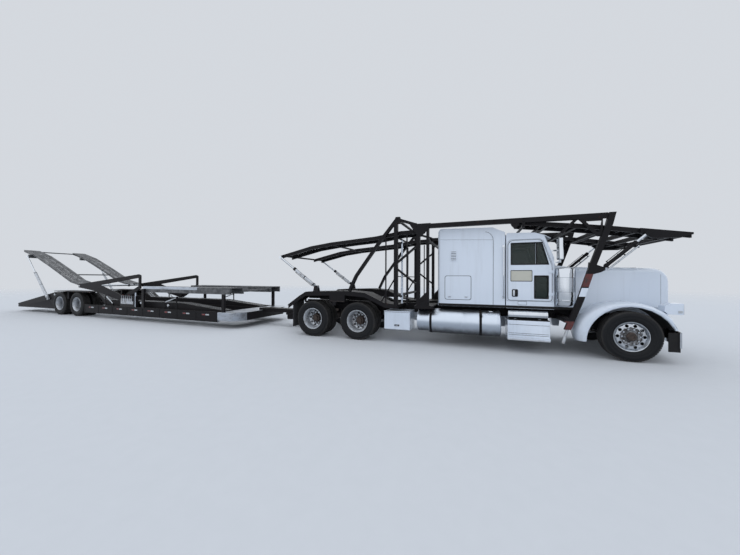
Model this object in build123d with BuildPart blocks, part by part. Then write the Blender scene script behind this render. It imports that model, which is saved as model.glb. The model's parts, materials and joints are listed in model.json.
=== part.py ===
from build123d import *
import math
import os

os.makedirs("parts", exist_ok=True)

# Car transporter: sleeper tractor with a head rack, and a low trailer hinged at a stinger coupling.
# All sizes are millimetres. Places along the truck, x, are taken from the steer axle, forwards positive.
# Heights, z, are taken from the ground, and y from the centre plane, left positive.

# Overall
overall_length = 23760
front_overhang = 900
steer_axle_x = overall_length / 2 - front_overhang

# Fits and gaps
running_fit = 0.05
seat_gap = 0.3
door_gap = 6

# Wheels
tyre_radius = 477.5
tyre_width = 250
steer_tyre_width = 280
rim_radius = 285
rim_wall = 22
hub_radius = 120
spindle_radius = 45
steer_wheel_y = 1050
outer_wheel_y = 1140
twin_spacing = 325
drive_axles = (-5612, -6921)
trailer_axles_x = (-17970, -19200)

# Chassis
rail_outer = 430
rail_flange = 80
rail_web = 10
rail_bottom = 680
rail_top = 930
rail_front = 600
rail_rear = -7600
kingpin_y = 860
kingpin_radius = 22
eye_half_height = 45
steer_arm = (-200, kingpin_y)
ball_radius = 12

# Coupling
coupling_x = -8420
coupling_plate_z = 440
coupling_pin_radius = 25.4

# Hood
hood_pivot = (800, 620)
hood_rear = -760
hood_front = 840
hood_bottom = 660
hood_top = 1832
hood_wall = 25
arch_radius = 700
arch_z = 330
fender_y = 1185
fender_inner_y = 600
grille_half_width = 430
grille_bottom = 720
grille_top = 1560

# Cab and sleeper
cab_wall = 50
cab_half_width = 1050
cab_front = -800
cab_rear = -2150
cowl_z = 1860
cab_roof = 2560
door_front = -1262
door_rear = -2128
door_bottom = 1092
door_thickness = 60
hinge_pin = (-1250, 1066)
hinge_pin_radius = 8
sleeper_front = -2170
sleeper_rear = -3620
sleeper_roof = 2720

# Rack
rack_inner = 1170
rack_outer = 1270
beam_bottom = 2750
beam_top = 2850
beam_rear = -4090
front_post_y = (1210, 1290)
track_inner = 600
track_outer = 1160
track_depth = 90
track_plate = 12
track_rail = 50
deck_pin_radius = 20
head_hinge = (-1950, 2780)
rear_hinge = (-4050, 2700)

# Lifting cylinders: base pin, rod eye, barrel length, barrel radius, rod radius, middle plane, eye width
head_cylinder = ((-500, 1760), (200, 2420), 740, 34, 22, 1250, 46)
rear_cylinder = ((-6820, 1330), (-8000, 2160), 880, 40, 28, 1220, 60)
ramp_cylinder = ((-20130, 640), (-21880, 2510), 1560, 50, 28, 1240, 60)
cylinder_pin = 20
cylinder_eye = 42
lug_wall = 15

# Trailer
trailer_rail_bottom = 180
trailer_rail_top = 500
trailer_side = (1210, 1270)
trailer_front = -9520
trailer_rail_rear = -17400
front_deck_hinge = (-13900, 1110)
arm_pivot = (-15200, 780)
arm_tail = (-18000, 1220)
arm_y = (1120, 1160)
ramp_outer = 1110


def at(x, y, z):
    """A point given from the steer axle, the centre plane and the ground."""
    return Vector(steer_axle_x + x, y, z)


def side_plane(y):
    """Side view at y: local x runs forwards, local y runs up, and extrusion goes to the right."""
    return Plane(origin=at(0, y, 0), x_dir=(1, 0, 0), z_dir=(0, -1, 0))


def cross_plane(x):
    """Section across the truck at x: local x runs left, local y runs up, and extrusion goes forwards."""
    return Plane(origin=at(x, 0, 0), x_dir=(0, 1, 0), z_dir=(1, 0, 0))


def top_plane(z):
    """Plan view at height z: local x runs forwards, local y runs left, and extrusion goes up."""
    return Plane(origin=at(0, 0, z))


def block(x, y, z, mode=Mode.ADD):
    """A box between pairs of limits along the truck, across it and upwards."""
    with Locations(at(sum(x) / 2, sum(y) / 2, sum(z) / 2)):
        Box(x[1] - x[0], y[1] - y[0], z[1] - z[0], mode=mode)


def slab(outline, y_from, y_to, mode=Mode.ADD):
    """A side view outline of straight lines, given thickness across the truck."""
    with BuildSketch(side_plane(y_to)) as profile:
        with BuildLine():
            Polyline(*outline, close=True)
        make_face()
    extrude(profile.sketch, amount=y_to - y_from, mode=mode)


def bar(start, end, radius, mode=Mode.ADD):
    """A round bar between two points."""
    a, b = at(*start), at(*end)
    with BuildSketch(Plane(origin=a, z_dir=b - a)) as profile:
        Circle(radius)
    extrude(profile.sketch, amount=(b - a).length, mode=mode)


def save(piece, name):
    piece.part.label = name
    export_step(piece.part, f"parts/{name}.step")


def ribbon(top, depth):
    """The closed side view outline of a bent plate: its top edge, and the same edge lowered."""
    return list(top) + [(x, z - depth) for x, z in reversed(top)]


# Chassis: two channel rails, cross members, and the stinger that drops behind the drive axles.
stinger_bottom = 240
stinger_top = 380
with BuildPart() as chassis:
    with BuildSketch(cross_plane(rail_rear)):
        with Locations((rail_outer - rail_flange / 2, (rail_bottom + rail_top) / 2)):
            Rectangle(rail_flange, rail_top - rail_bottom)
        with Locations((rail_outer - rail_flange / 2 - rail_web, (rail_bottom + rail_top) / 2)):
            Rectangle(rail_flange, rail_top - rail_bottom - 2 * rail_web, mode=Mode.SUBTRACT)
        mirror(about=Plane.YZ)
    extrude(amount=rail_front - rail_rear)
    for member_x in (580, -1150, -2600, -3900, -5000, -6266, -7500):
        block((member_x - 60, member_x + 60), (rail_web - rail_outer, rail_outer - rail_web),
              (rail_bottom + 50, rail_top - 50))
    # Hood pivot ears and the front cross pin
    for side in (1, -1):
        ear_y = sorted((side * 360, side * 390))
        slab([(565, rail_bottom), (540, 700), (540, 800), (700, 700), (812, 650), (825, 620), (812, 585),
              (770, 585)], *ear_y)
    bar((hood_pivot[0], -390, hood_pivot[1]), (hood_pivot[0], 390, hood_pivot[1]), 15)
    # Drop plates and stinger beam
    for side in (1, -1):
        plate_y = sorted((side * 320, side * 350))
        slab([(-7050, rail_top), (rail_rear, rail_top), (-7740, stinger_top),
              (-7740, stinger_bottom), (-7450, stinger_bottom), (-7050, rail_bottom)], *plate_y)
    block((-7740, -7500), (-320, 320), (stinger_bottom, stinger_top))
    block((coupling_x, -7740), (-185, 185), (stinger_bottom, stinger_top))
    with Locations(at(coupling_x, 0, stinger_bottom)):
        Cylinder(200, stinger_top - stinger_bottom, align=(Align.CENTER, Align.CENTER, Align.MIN))
    with Locations(at(coupling_x, 0, stinger_top)):
        Cylinder(240, coupling_plate_z - stinger_top, align=(Align.CENTER, Align.CENTER, Align.MIN))
    with Locations(at(coupling_x, 0, coupling_plate_z)):
        Hole(coupling_pin_radius + 2 * running_fit)
save(chassis, "chassis_frame")

# Front axle with its leaf springs, and both drive axles with arms and air bags.
beam_half = 45
with BuildPart() as running_gear:
    eye = (tyre_radius - eye_half_height, tyre_radius + eye_half_height)
    with BuildSketch(cross_plane(-beam_half)):
        with BuildLine():
            Polyline((0, 345), (640, 345), (760, eye[0]), (kingpin_y, eye[0]), (kingpin_y, eye[1]),
                     (740, eye[1]), (620, 435), (0, 435), close=True)
        make_face()
        mirror(about=Plane.YZ)
    extrude(amount=2 * beam_half)
    with Locations(at(0, kingpin_y, tyre_radius), at(0, -kingpin_y, tyre_radius)):
        Cylinder(beam_half, 2 * eye_half_height)
        Cylinder(kingpin_radius + running_fit, 2 * eye_half_height, mode=Mode.SUBTRACT)
    for side in (1, -1):
        spring_y = sorted((side * 355, side * 430))
        with BuildSketch(side_plane(spring_y[1])):
            with BuildLine():
                ThreePointArc((-650, 590), (0, 435), (560, 590))
                Line((560, 590), (560, 640))
                ThreePointArc((560, 640), (0, 505), (-650, 640))
                Line((-650, 640), (-650, 590))
            make_face()
        extrude(amount=spring_y[1] - spring_y[0])
        for hanger_x in (-620, 530):
            block((hanger_x - 30, hanger_x + 30), spring_y, (630, rail_bottom))
    for axle_x in drive_axles:
        bar((axle_x, -620, tyre_radius), (axle_x, 620, tyre_radius), 70)
        bar((axle_x, -1080, tyre_radius), (axle_x, 1080, tyre_radius), spindle_radius)
        bar((axle_x, -150, tyre_radius), (axle_x, 150, tyre_radius), 195)
        for side in (1, -1):
            arm_side = sorted((side * 355, side * 430))
            block((axle_x - 60, axle_x + 60), arm_side, (530, 560))
            block((axle_x - 430, axle_x + 430), arm_side, (560, 610))
            block((axle_x + 370, axle_x + 430), arm_side, (610, rail_bottom))
            with Locations(at(axle_x - 340, side * 460, 610)):
                Cylinder(100, rail_bottom - 610, align=(Align.CENTER, Align.CENTER, Align.MIN))
save(running_gear, "running_gear")

# Engine as one plain block, with the radiator core that shows behind the grille.
with BuildPart() as engine:
    block((-780, 420), (rail_flange - rail_outer, rail_outer - rail_flange), (600, 1480))
    block((540, 620), (-345, 345), (rail_top - 50, 1560))
save(engine, "engine_block")

# Front bumper: a swept chrome bar on two brackets with tow plates, and the dark end panels ahead of the wheels.
bumper_half = 1180
bumper_end = 720
bumper_z = (320, 600)
tow_bore = (785, 495)
tow_bore_radius = 22
tow_plate_z = (400, 420)
with BuildPart() as bumper:
    with BuildSketch(top_plane(bumper_z[0])):
        with BuildLine():
            ThreePointArc((bumper_end, -bumper_half), (front_overhang, 0), (bumper_end, bumper_half))
            Line((bumper_end, bumper_half), (bumper_end - 30, bumper_half))
            ThreePointArc((bumper_end - 30, bumper_half), (front_overhang - 30, 0), (bumper_end - 30, -bumper_half))
            Line((bumper_end - 30, -bumper_half), (bumper_end, -bumper_half))
        make_face()
    extrude(amount=bumper_z[1] - bumper_z[0])
    for side in (1, -1):
        bracket_y = sorted((side * rail_outer, side * (rail_outer + 20)))
        slab([(380, rail_bottom), (380, 800), (560, 800), (845, 560), (845, 400), (700, 400)], *bracket_y)
        block((720, 838), sorted((side * (rail_outer + 20), side * 540)), tow_plate_z)
        bar((tow_bore[0], side * tow_bore[1], tow_plate_z[0] - 10),
            (tow_bore[0], side * tow_bore[1], tow_plate_z[1] + 10), tow_bore_radius, mode=Mode.SUBTRACT)
        panel_y = sorted((side * 1145, side * 1160))
        block((540, bumper_end - 10), panel_y, (240, 590))
save(bumper, "front_bumper")


# Cab: side view crossed with plan view, hollowed, with its doorways, screen openings and rear way cut.
def cab_side(wall):
    """Side view outline of the cab, moved inwards by the wall."""
    return [(cab_front - wall, rail_top + wall), (cab_front - wall, cowl_z - 50 - wall),
            (-1180 - wall, cowl_z - 0.6 * wall), (-1425 - wall, 2500 - wall), (-1600, cab_roof - wall),
            (cab_rear + wall, cab_roof + 15 - wall), (cab_rear + wall, rail_top + wall)]


def cab_plan(wall):
    """Half of the plan outline of the cab, moved inwards by the wall."""
    return [(cab_front - wall, 0), (cab_front - wall, 800 - wall), (-1215 - wall, 880 - wall),
            (-1240 - wall / 3, cab_half_width - wall), (cab_rear + wall, cab_half_width - wall), (cab_rear + wall, 0)]


door_outline = [(door_front, door_bottom), (door_front, 1840), (-1440, 2380), (-1500, 2420), (-2060, 2420),
                (door_rear, 2350), (door_rear, door_bottom)]
screen_plane = Plane(origin=at(-1300, 0, 2180), x_dir=(0, 1, 0), z_dir=(640, 0, 240))
screen_size = (850, 520)
screen_places = ((460, 0), (-460, 0))
hinge_heights = (1250, 1720)


def cab_body(wall):
    with BuildPart() as body:
        slab(cab_side(wall), -1200, 1200)
        with BuildSketch(top_plane(0)):
            with BuildLine():
                half = cab_plan(wall)
                Polyline(*half, *[(x, -y) for x, y in reversed(half) if y], close=True)
            make_face()
        extrude(amount=3000, mode=Mode.INTERSECT)
    return body.part


cab_outer = cab_body(0)
cab_inner = cab_body(cab_wall)
with BuildPart() as cab:
    add(cab_outer)
    fillet(cab.edges().filter_by(Axis.Y).group_by(Axis.Z)[-1], 40)
    add(cab_inner, mode=Mode.SUBTRACT)
    with BuildSketch(side_plane(1200)):
        with BuildLine():
            Polyline(*door_outline, close=True)
        make_face()
        offset(amount=door_gap)
    extrude(amount=2400, mode=Mode.SUBTRACT)
    with BuildSketch(screen_plane):
        with Locations(*screen_places):
            RectangleRounded(*screen_size, 50)
    extrude(amount=120, both=True, mode=Mode.SUBTRACT)
    block((cab_rear - 10, cab_rear + cab_wall + 10), (-700, 700), (1000, 2400), mode=Mode.SUBTRACT)
    # Door hinge pins, each between two ears
    for side in (1, -1):
        for hinge_z in hinge_heights:
            for ear_z in (hinge_z - 55, hinge_z + 35):
                ear_side = sorted((side * (cab_half_width - 40), side * hinge_pin[1]))
                block((hinge_pin[0] - 5, hinge_pin[0] + 12), ear_side, (ear_z, ear_z + 20))
                with Locations(at(hinge_pin[0], side * hinge_pin[1], ear_z + 10)):
                    Cylinder(14, 20)
            with Locations(at(hinge_pin[0], side * hinge_pin[1], hinge_z)):
                Cylinder(hinge_pin_radius, 110)
save(cab, "cab_shell")

with BuildPart() as cab_glass:
    with BuildSketch(screen_plane.offset(-12)):
        with Locations(*screen_places):
            RectangleRounded(*screen_size, 50)
    extrude(amount=-8)
save(cab_glass, "cab_glass")

# Seats, dashboard and steering wheel, seen through the glass.
floor_z = rail_top + cab_wall
with BuildPart() as interior:
    for side in (1, -1):
        seat_y = sorted((side * 300, side * 800))
        with BuildSketch(side_plane(seat_y[1])):
            with BuildLine():
                Polyline((-2030, floor_z), (-1560, floor_z), (-1500, 1430), (-1510, 1480), (-1930, 1450),
                         (-2000, 2130), (-2080, 2130), (-2040, 1400), close=True)
            make_face()
        extrude(amount=seat_y[1] - seat_y[0])
    slab([(cab_front - cab_wall, 1500), (cab_front - cab_wall, 1700), (-1150, 1750), (-1290, 1700), (-1290, 1560),
          (-1190, 1450)], -720, 720)
    bar((-1250, 550, 1560), (-1420, 550, 1660), 25)
    with Locations(Plane(origin=at(-1420, 550, 1660), z_dir=(-170, 0, 100))):
        Cylinder(225, 24)
        Cylinder(195, 24, mode=Mode.SUBTRACT)
        Box(400, 30, 24)
save(interior, "cab_interior")

# Sleeper: hollow box with rounded edges, open to the cab.
with BuildPart() as sleeper:
    slab([(sleeper_front, rail_top), (sleeper_front, 2600), (-2430, sleeper_roof), (-3560, sleeper_roof + 25),
          (sleeper_rear, 2680), (sleeper_rear, rail_top)], -cab_half_width, cab_half_width)
    fillet(sleeper.edges().filter_by(Axis.Z).group_by(Axis.X)[0], 60)
    slab([(sleeper_front - cab_wall, rail_top + cab_wall), (sleeper_front - cab_wall, 2560),
          (-2430, sleeper_roof - cab_wall), (-3550, sleeper_roof - cab_wall),
          (sleeper_rear + cab_wall, sleeper_roof - 100), (sleeper_rear + cab_wall, rail_top + cab_wall)],
         cab_wall - cab_half_width, cab_half_width - cab_wall, mode=Mode.SUBTRACT)
    block((sleeper_front - cab_wall - 10, sleeper_front + 10), (-700, 700), (1000, 2400), mode=Mode.SUBTRACT)
    # Boot joining the sleeper to the cab
    block((sleeper_front, cab_rear), (-760, 760), (960, 2450))
    block((sleeper_front - 10, cab_rear + 10), (-700, 700), (1000, 2400), mode=Mode.SUBTRACT)
save(sleeper, "sleeper_shell")

# Fuel tanks with their straps and frame brackets.
tank_y = 915
tank_z = 560
with BuildPart() as tanks:
    for side in (1, -1):
        bar((-2255, side * tank_y, tank_z), (-3830, side * tank_y, tank_z), 290)
        bar((-3830, side * tank_y, tank_z), (-4100, side * tank_y, tank_z), 255)
        for strap_x in (-2670, -3240, -3770):
            bar((strap_x - 25, side * tank_y, tank_z), (strap_x + 25, side * tank_y, tank_z), 296)
            block((strap_x - 25, strap_x + 25), sorted((side * rail_outer, side * 690)), (rail_bottom + 10, 750))
save(tanks, "fuel_tanks")

# Step box, air tank and tool box: x limits and z limits of each box.
box_side = (640, 1200)
side_box_table = (((-2130, -1340), (270, 690)), ((-4900, -4260), (310, 770)))
with BuildPart() as boxes:
    for side in (1, -1):
        for box_x, box_z in side_box_table:
            block(box_x, sorted((side * box_side[0], side * box_side[1])), box_z)
            middle_x = sum(box_x) / 2
            block((middle_x - 200, middle_x + 200), sorted((side * rail_outer, side * 700)), (640, rail_bottom + 60))
        block((-2130, -1340), sorted((side * box_side[0], side * 1225)), (270, 300))
        bar((-2120, side * 1090, 800), (-1370, side * 1090, 800), 90)
        for saddle_x in (-1980, -1520):
            block((saddle_x - 25, saddle_x + 25), sorted((side * 1040, side * 1140)), (690, 740))
save(boxes, "side_boxes")

# Chrome air cleaners, one at each side of the cowl.
cleaner = (-1055, 1075)
with BuildPart() as cleaners:
    for side in (1, -1):
        with BuildSketch(side_plane(side * cleaner[1])):
            with BuildLine():
                Polyline((cleaner[0], 1020), (cleaner[0] + 170, 1020), (cleaner[0] + 170, 1710),
                         (cleaner[0] + 110, 1810), (cleaner[0], 1810), close=True)
            make_face()
        revolve(axis=Axis(at(cleaner[0], side * cleaner[1], 0), (0, 0, 1)))
        for band_z in (1230, 1560):
            block((cleaner[0] - 40, cleaner[0] + 40), sorted((side * 800, side * 950)), (band_z, band_z + 60))
    add(cab_outer, mode=Mode.SUBTRACT)
save(cleaners, "air_cleaners")

# Mirrors on arms from the screen pillars.
with BuildPart() as mirrors:
    for side in (1, -1):
        block((-1205, -1125), sorted((side * 1090, side * 1285)), (1960, 2410))
    chamfer(mirrors.edges(), 16)
    for side in (1, -1):
        for arm_z, reach in ((1905, 1190), (2150, 1110)):
            block((-1330, -1150), sorted((side * 1000, side * 1025)), (arm_z, arm_z + 30))
            block((-1180, -1150), sorted((side * 1000, side * reach)), (arm_z, arm_z + 30))
        block((-1180, -1150), sorted((side * 1165, side * 1190)), (1905, 1970))
    add(cab_outer, mode=Mode.SUBTRACT)
save(mirrors, "mirrors")


def clevis(cylinder, outline, side, mode=Mode.ADD):
    """Two ears beside a cylinder's base eye, with the pin through them."""
    (pin_x, pin_z), middle, eye_width = cylinder[0], cylinder[5], cylinder[6]
    for y in (middle - eye_width / 2 - 1 - lug_wall, middle + eye_width / 2 + 1):
        slab(outline, *sorted((side * y, side * (y + lug_wall))), mode=mode)
    reach = eye_width / 2 + 1 + lug_wall
    bar((pin_x, side * (middle - reach), pin_z), (pin_x, side * (middle + reach), pin_z), cylinder_pin)


# Covers over the drive wheels, their bracket boxes between the wheels, and the mudflaps.
cover_top = ((-7710, 830), (-7330, 1090), (-7140, 1200), (-5960, 1240), (-5400, 1200), (-4870, 960),
             (-4655, 945))
cover_depth = 30
with BuildPart() as rear_fenders:
    for side in (1, -1):
        slab(ribbon(cover_top, cover_depth), *sorted((side * 680, side * rack_outer)))
        block((-6400, -5960), sorted((side * 1180, side * rack_outer)), (950, 1215))
        block((-6316, -6216), sorted((side * rail_outer, side * rack_outer)), (860, 960))
        block((-7560, -7550), sorted((side * 700, side * 1240)), (220, 915))
        block((-7520, -7480), sorted((side * rail_outer, side * 700)), (860, 900))
        block((-7520, -7480), sorted((side * 680, side * 720)), (860, 960))
        clevis(rear_cylinder, [(-6910, 1195), (-6865, 1372), (-6775, 1372), (-6730, 1195)], side)
save(rear_fenders, "rear_fenders")

# Rack tower behind the sleeper: posts as (x, width, z from, z to), struts as lines with a depth.
outrigger_bottom = 860
post_table = ((-3830, 60, rail_top, beam_bottom), (-4050, 80, rail_top, beam_bottom), (-4600, 90, rail_top, 2960))
strut_table = (((-4570, 3020), (-5070, 2410), 70), ((-5070, 2410), (-5650, 1630), 70),
               ((-5650, 1630), (-5840, 1240), 70), ((-4570, 3010), (-4110, 2850), 60),
               ((-4080, 1420), (-4570, 1800), 40), ((-4080, 2350), (-4570, 1950), 40))


def strut(start, end, depth):
    """Side view outline of a straight strut between two points."""
    length = math.hypot(end[0] - start[0], end[1] - start[1])
    nx, nz = (start[1] - end[1]) / length * depth / 2, (end[0] - start[0]) / length * depth / 2
    return [(start[0] + nx, start[1] + nz), (end[0] + nx, end[1] + nz),
            (end[0] - nx, end[1] - nz), (start[0] - nx, start[1] - nz)]


with BuildPart() as tower:
    for side in (1, -1):
        tower_y = sorted((side * rack_inner, side * rack_outer))
        for post_x, width, z_from, z_to in post_table:
            block((post_x - width / 2, post_x + width / 2), tower_y, (z_from, z_to))
        for start, end, depth in strut_table:
            slab(strut(start, end, depth), *tower_y)
        block((-4140, -3700), sorted((side * rail_outer, side * rack_outer)), (outrigger_bottom, rail_top))
        block((-4655, -4545), sorted((side * rail_outer, side * rack_outer)), (outrigger_bottom, rail_top))
        slab([(-3860, rail_top), (-3860, 1250), (-3990, 1120), (-4020, rail_top)], *tower_y)
        slab([(-4660, 2900), (-4600, 3060), (-4500, 3060), (-4480, 2900)], *tower_y)
        block((beam_rear, 0), tower_y, (beam_bottom, beam_top + 100), mode=Mode.SUBTRACT)
        bar((rear_hinge[0], side * 1095, rear_hinge[1]), (rear_hinge[0], side * rack_inner, rear_hinge[1]),
            deck_pin_radius)
    bar((-4570, -rack_inner, 3000), (-4570, rack_inner, 3000), 35)
    bar((-4600, -rack_inner, 1150), (-4600, rack_inner, 1150), 35)
    bar((-3830, -rack_inner, 2480), (-3830, rack_inner, 2480), 30)
    add(rear_fenders.part, mode=Mode.SUBTRACT)
save(tower, "rack_tower")

# Upper rack beams and the leaning front posts, with their feet on the rails and the cylinder clevises.
post_line = ((-330, beam_top), (-380, 2630), (-520, 2200), (-650, 1810), (-850, 1130), (-1060, 560))
post_half = 55

with BuildPart() as beams:
    for side in (1, -1):
        block((beam_rear, -400), sorted((side * rack_inner, side * rack_outer)), (beam_bottom, beam_top))
        front_y = sorted((side * front_post_y[0], side * front_post_y[1]))
        slab([(x + post_half, z) for x, z in post_line] + [(x - post_half, z) for x, z in reversed(post_line)],
             *front_y)
        knee_y = sorted((side * 1215, side * 1265))
        slab([(-480, beam_bottom), (-870, beam_bottom), (-560, 2400), (-480, 2400)], *knee_y)
        slab([(-490, 2705), (-760, 2705), (-575, 2490), (-525, 2490)], *knee_y, mode=Mode.SUBTRACT)
        clevis(head_cylinder, [(-700, 1900), (-720, 1640), (-520, 1700), (-450, 1740), (-450, 1790)], side)
        block((-1110, -1000), sorted((side * rail_outer, side * front_post_y[1])), (700, 790))
        bar((head_hinge[0], side * 1095, head_hinge[1]), (head_hinge[0], side * rack_inner, head_hinge[1]),
            deck_pin_radius)
    bar((-1840, -rack_inner, 2675), (-1840, rack_inner, 2675), 28)
    block((-1868, -1812), (-rack_outer, -rack_inner), (2645, beam_bottom))
    block((-1868, -1812), (rack_inner, rack_outer), (2645, beam_bottom))
save(beams, "rack_beams")

# Hood: side view crossed with plan view, arched fenders added, hollowed, wheel arches cut.
bonnet_rear_half = 790
bonnet_edge_radius = 90
bonnet_corner_radius = 70


def bonnet_body(wall):
    """The middle of the hood, moved inwards by the wall and open below and behind."""
    back = hood_rear - (10 if wall else 0)
    front, top = hood_front - wall, hood_top - wall
    with BuildPart() as body:
        with BuildSketch(side_plane(1200)):
            with BuildLine():
                Polyline((front, hood_top - 220), (front, hood_bottom - wall), (back, hood_bottom - wall),
                         (back, top), (600, top - 30))
                ThreePointArc((600, top - 30), (front - 65, hood_top - 90 - wall / 2), (front, hood_top - 220))
            make_face()
        extrude(amount=2400)
        with BuildSketch(top_plane(0)):
            with BuildLine():
                Polyline((back, wall - bonnet_rear_half), (back, bonnet_rear_half - wall), (300, 665 - wall),
                         (front, 550 - wall), (front, wall - 550), (300, wall - 665), close=True)
            make_face()
        extrude(amount=3000, mode=Mode.INTERSECT)
        fillet(body.edges().filter_by(Axis.Z).group_by(Axis.X)[-1], bonnet_corner_radius - wall)
        crown = body.edges().filter_by_position(Axis.Z, top - 40, top + 1)
        fillet([edge for edge in crown if abs(edge.center().Y) > 500], bonnet_edge_radius - wall)
    return body.part


# Crown of a fender in side view, from its front end to the foot of its skirt
fender_crown = ((705, 655), (695, 705), (620, 860), (500, 975), (340, 1060), (170, 1115), (0, 1140),
                (-170, 1132), (-340, 1100), (-500, 1045), (-640, 965), (-760, 860), (-845, 740), (-895, 600),
                (-900, 460), (-868, 335))
# Sections across a fender: distance from the centre plane, and how far the crown has dropped towards the wheel
fender_sections = ((500, 0), (1090, 0), (1150, 28), (1175, 62), (fender_y, 100))


def fender_body(side):
    """A fender as a solid arch that rounds over to its lip, before the wheel arch is cut."""
    sections = []
    for y, drop in fender_sections:
        with BuildSketch(side_plane(side * y)) as section:
            with BuildLine():
                crown = []
                for x, z in fender_crown:
                    share = 1 - drop / math.hypot(x, z - arch_z)
                    crown.append((x * share, arch_z + (z - arch_z) * share))
                Polyline(*crown, (-300, crown[-1][1]), (300, crown[0][1]), close=True)
            make_face()
        sections.append(section.sketch)
    with BuildPart() as body:
        loft(sections, ruled=True)
    return body.part


with BuildPart() as hood:
    add(bonnet_body(0))
    for side in (1, -1):
        add(fender_body(side))
    add(bonnet_body(hood_wall), mode=Mode.SUBTRACT)
    for side in (1, -1):
        with Locations(Plane(origin=at(0, side * (fender_inner_y + 700), arch_z), z_dir=(0, 1, 0))):
            Cylinder(arch_radius, 1400, mode=Mode.SUBTRACT)
    block((-700, 700), (-550, 550), (0, 900), mode=Mode.SUBTRACT)
    # Only the outer part of each fender reaches back beside the cab
    block((-1000, hood_rear), (-850, 850), (0, 1300), mode=Mode.SUBTRACT)
    block((700, 900), (-grille_half_width, grille_half_width), (grille_bottom, grille_top), mode=Mode.SUBTRACT)
    # Pivot lugs on the front cross pin
    for side in (1, -1):
        lug_y = sorted((side * 300, side * 350))
        slab([(770, 590), (830, 590), (830, grille_bottom - 5), (740, grille_bottom - 5)], *lug_y)
    bar((hood_pivot[0], -400, hood_pivot[1]), (hood_pivot[0], 400, hood_pivot[1]), 15 + running_fit,
        mode=Mode.SUBTRACT)
save(hood, "hood")

# Chrome grille: a frame with upright bars.
grille_bar_count = 13
with BuildPart() as grille:
    grille_x = (hood_front - hood_wall - 5, hood_front + 8)
    block(grille_x, (-grille_half_width, grille_half_width), (grille_bottom, grille_top))
    block((700, 900), (30 - grille_half_width, grille_half_width - 30), (grille_bottom + 30, grille_top - 30),
          mode=Mode.SUBTRACT)
    bar_pitch = 2 * (grille_half_width - 30) / (grille_bar_count + 1)
    for index in range(grille_bar_count):
        bar_y = (index + 1) * bar_pitch - (grille_half_width - 30)
        block(grille_x, (bar_y - 6, bar_y + 6), (grille_bottom + 20, grille_top - 20))
save(grille, "grille")

# Headlamp pods on arms from the hood's sides.
with BuildPart() as headlamps:
    for side in (1, -1):
        block((500, 790), sorted((side * 880, side * 1120)), (915, 1130))
    fillet(headlamps.edges().filter_by(Axis.Z), 50)
    add(hood.part, mode=Mode.SUBTRACT)
save(headlamps, "headlamps")

# Doors: hinged at their front edges, with a main window, a divider and a low side window.
window_outline = ((-2045, 1885), (-1345, 1885), (-1470, 2340), (-2045, 2340))
low_window = ((-1595, -1350), (1160, 1630))
divider_x = -1570
glass_y = (1016, 1022)
for side, name in ((1, "left"), (-1, "right")):
    door_y = sorted((side * (cab_half_width - door_thickness), side * cab_half_width))
    pane_y = sorted((side * glass_y[0], side * glass_y[1]))
    with BuildPart() as door:
        slab(door_outline, *door_y)
        slab(window_outline, door_y[0] - 20, door_y[1] + 20, mode=Mode.SUBTRACT)
        block(low_window[0], (door_y[0] - 20, door_y[1] + 20), low_window[1], mode=Mode.SUBTRACT)
        block((divider_x - 12, divider_x + 12), sorted((side * 1022, side * 1040)), (1885, 2340))
        for hinge_z in hinge_heights:
            block((hinge_pin[0] - 90, door_front), sorted((side * cab_half_width, side * (cab_half_width + 10))),
                  (hinge_z - 30, hinge_z + 30))
            block((door_front, hinge_pin[0]), sorted((side * (cab_half_width + 3), side * (cab_half_width + 10))),
                  (hinge_z - 30, hinge_z + 30))
            with Locations(at(hinge_pin[0], side * hinge_pin[1], hinge_z)):
                Cylinder(14, 60)
                Cylinder(hinge_pin_radius + running_fit, 80, mode=Mode.SUBTRACT)
        block((-2020, -1920), sorted((side * cab_half_width, side * (cab_half_width + 22))), (1245, 1285))
    save(door, f"door_{name}")
    with BuildPart() as door_glass:
        slab(window_outline, *pane_y)
        block(low_window[0], pane_y, low_window[1])
    save(door_glass, f"door_glass_{name}")

# Steering knuckles: forks over the axle eyes, with stub axles and steering arms.
fork_gap = 5
fork_depth = 36
web_y = (915, 940)
for side, name in ((1, "left"), (-1, "right")):
    with BuildPart() as knuckle:
        for low in (tyre_radius + eye_half_height + fork_gap, tyre_radius - eye_half_height - fork_gap - fork_depth):
            block((-beam_half, beam_half), sorted((side * 815, side * web_y[1])), (low, low + fork_depth))
        fork_z = tyre_radius - eye_half_height - fork_gap - fork_depth
        block((-beam_half, beam_half), sorted((side * web_y[0], side * web_y[1])),
              (fork_z, 2 * tyre_radius - fork_z))
        with Locations(at(0, side * kingpin_y, tyre_radius)):
            Cylinder(kingpin_radius, 2 * (tyre_radius - fork_z))
        bar((0, side * (web_y[1] - 5), tyre_radius), (0, side * 1150, tyre_radius), spindle_radius)
        with BuildSketch(top_plane(fork_z)) as arm_plan:
            with BuildLine():
                Polyline((-30, side * 930), (-30, side * 830), (steer_arm[0], side * (steer_arm[1] - 28)),
                         (steer_arm[0], side * (steer_arm[1] + 28)), close=True)
            make_face()
            with Locations((steer_arm[0], side * steer_arm[1])):
                Circle(30)
                Circle(ball_radius + running_fit, mode=Mode.SUBTRACT)
        extrude(amount=30)
    save(knuckle, f"knuckle_{name}")

rod_z = tyre_radius - eye_half_height - fork_gap - fork_depth - 28
with BuildPart() as tie_rod:
    bar((steer_arm[0], -steer_arm[1] - 20, rod_z), (steer_arm[0], steer_arm[1] + 20, rod_z), 20)
    for side in (1, -1):
        with Locations(at(steer_arm[0], side * steer_arm[1], rod_z)):
            Cylinder(ball_radius, 65, align=(Align.CENTER, Align.CENTER, Align.MIN))
save(tie_rod, "tie_rod")


# Wheels, with their round outlines drawn as polygons of facet_count sides that stand on a flat.
facet_count = 28


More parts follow.
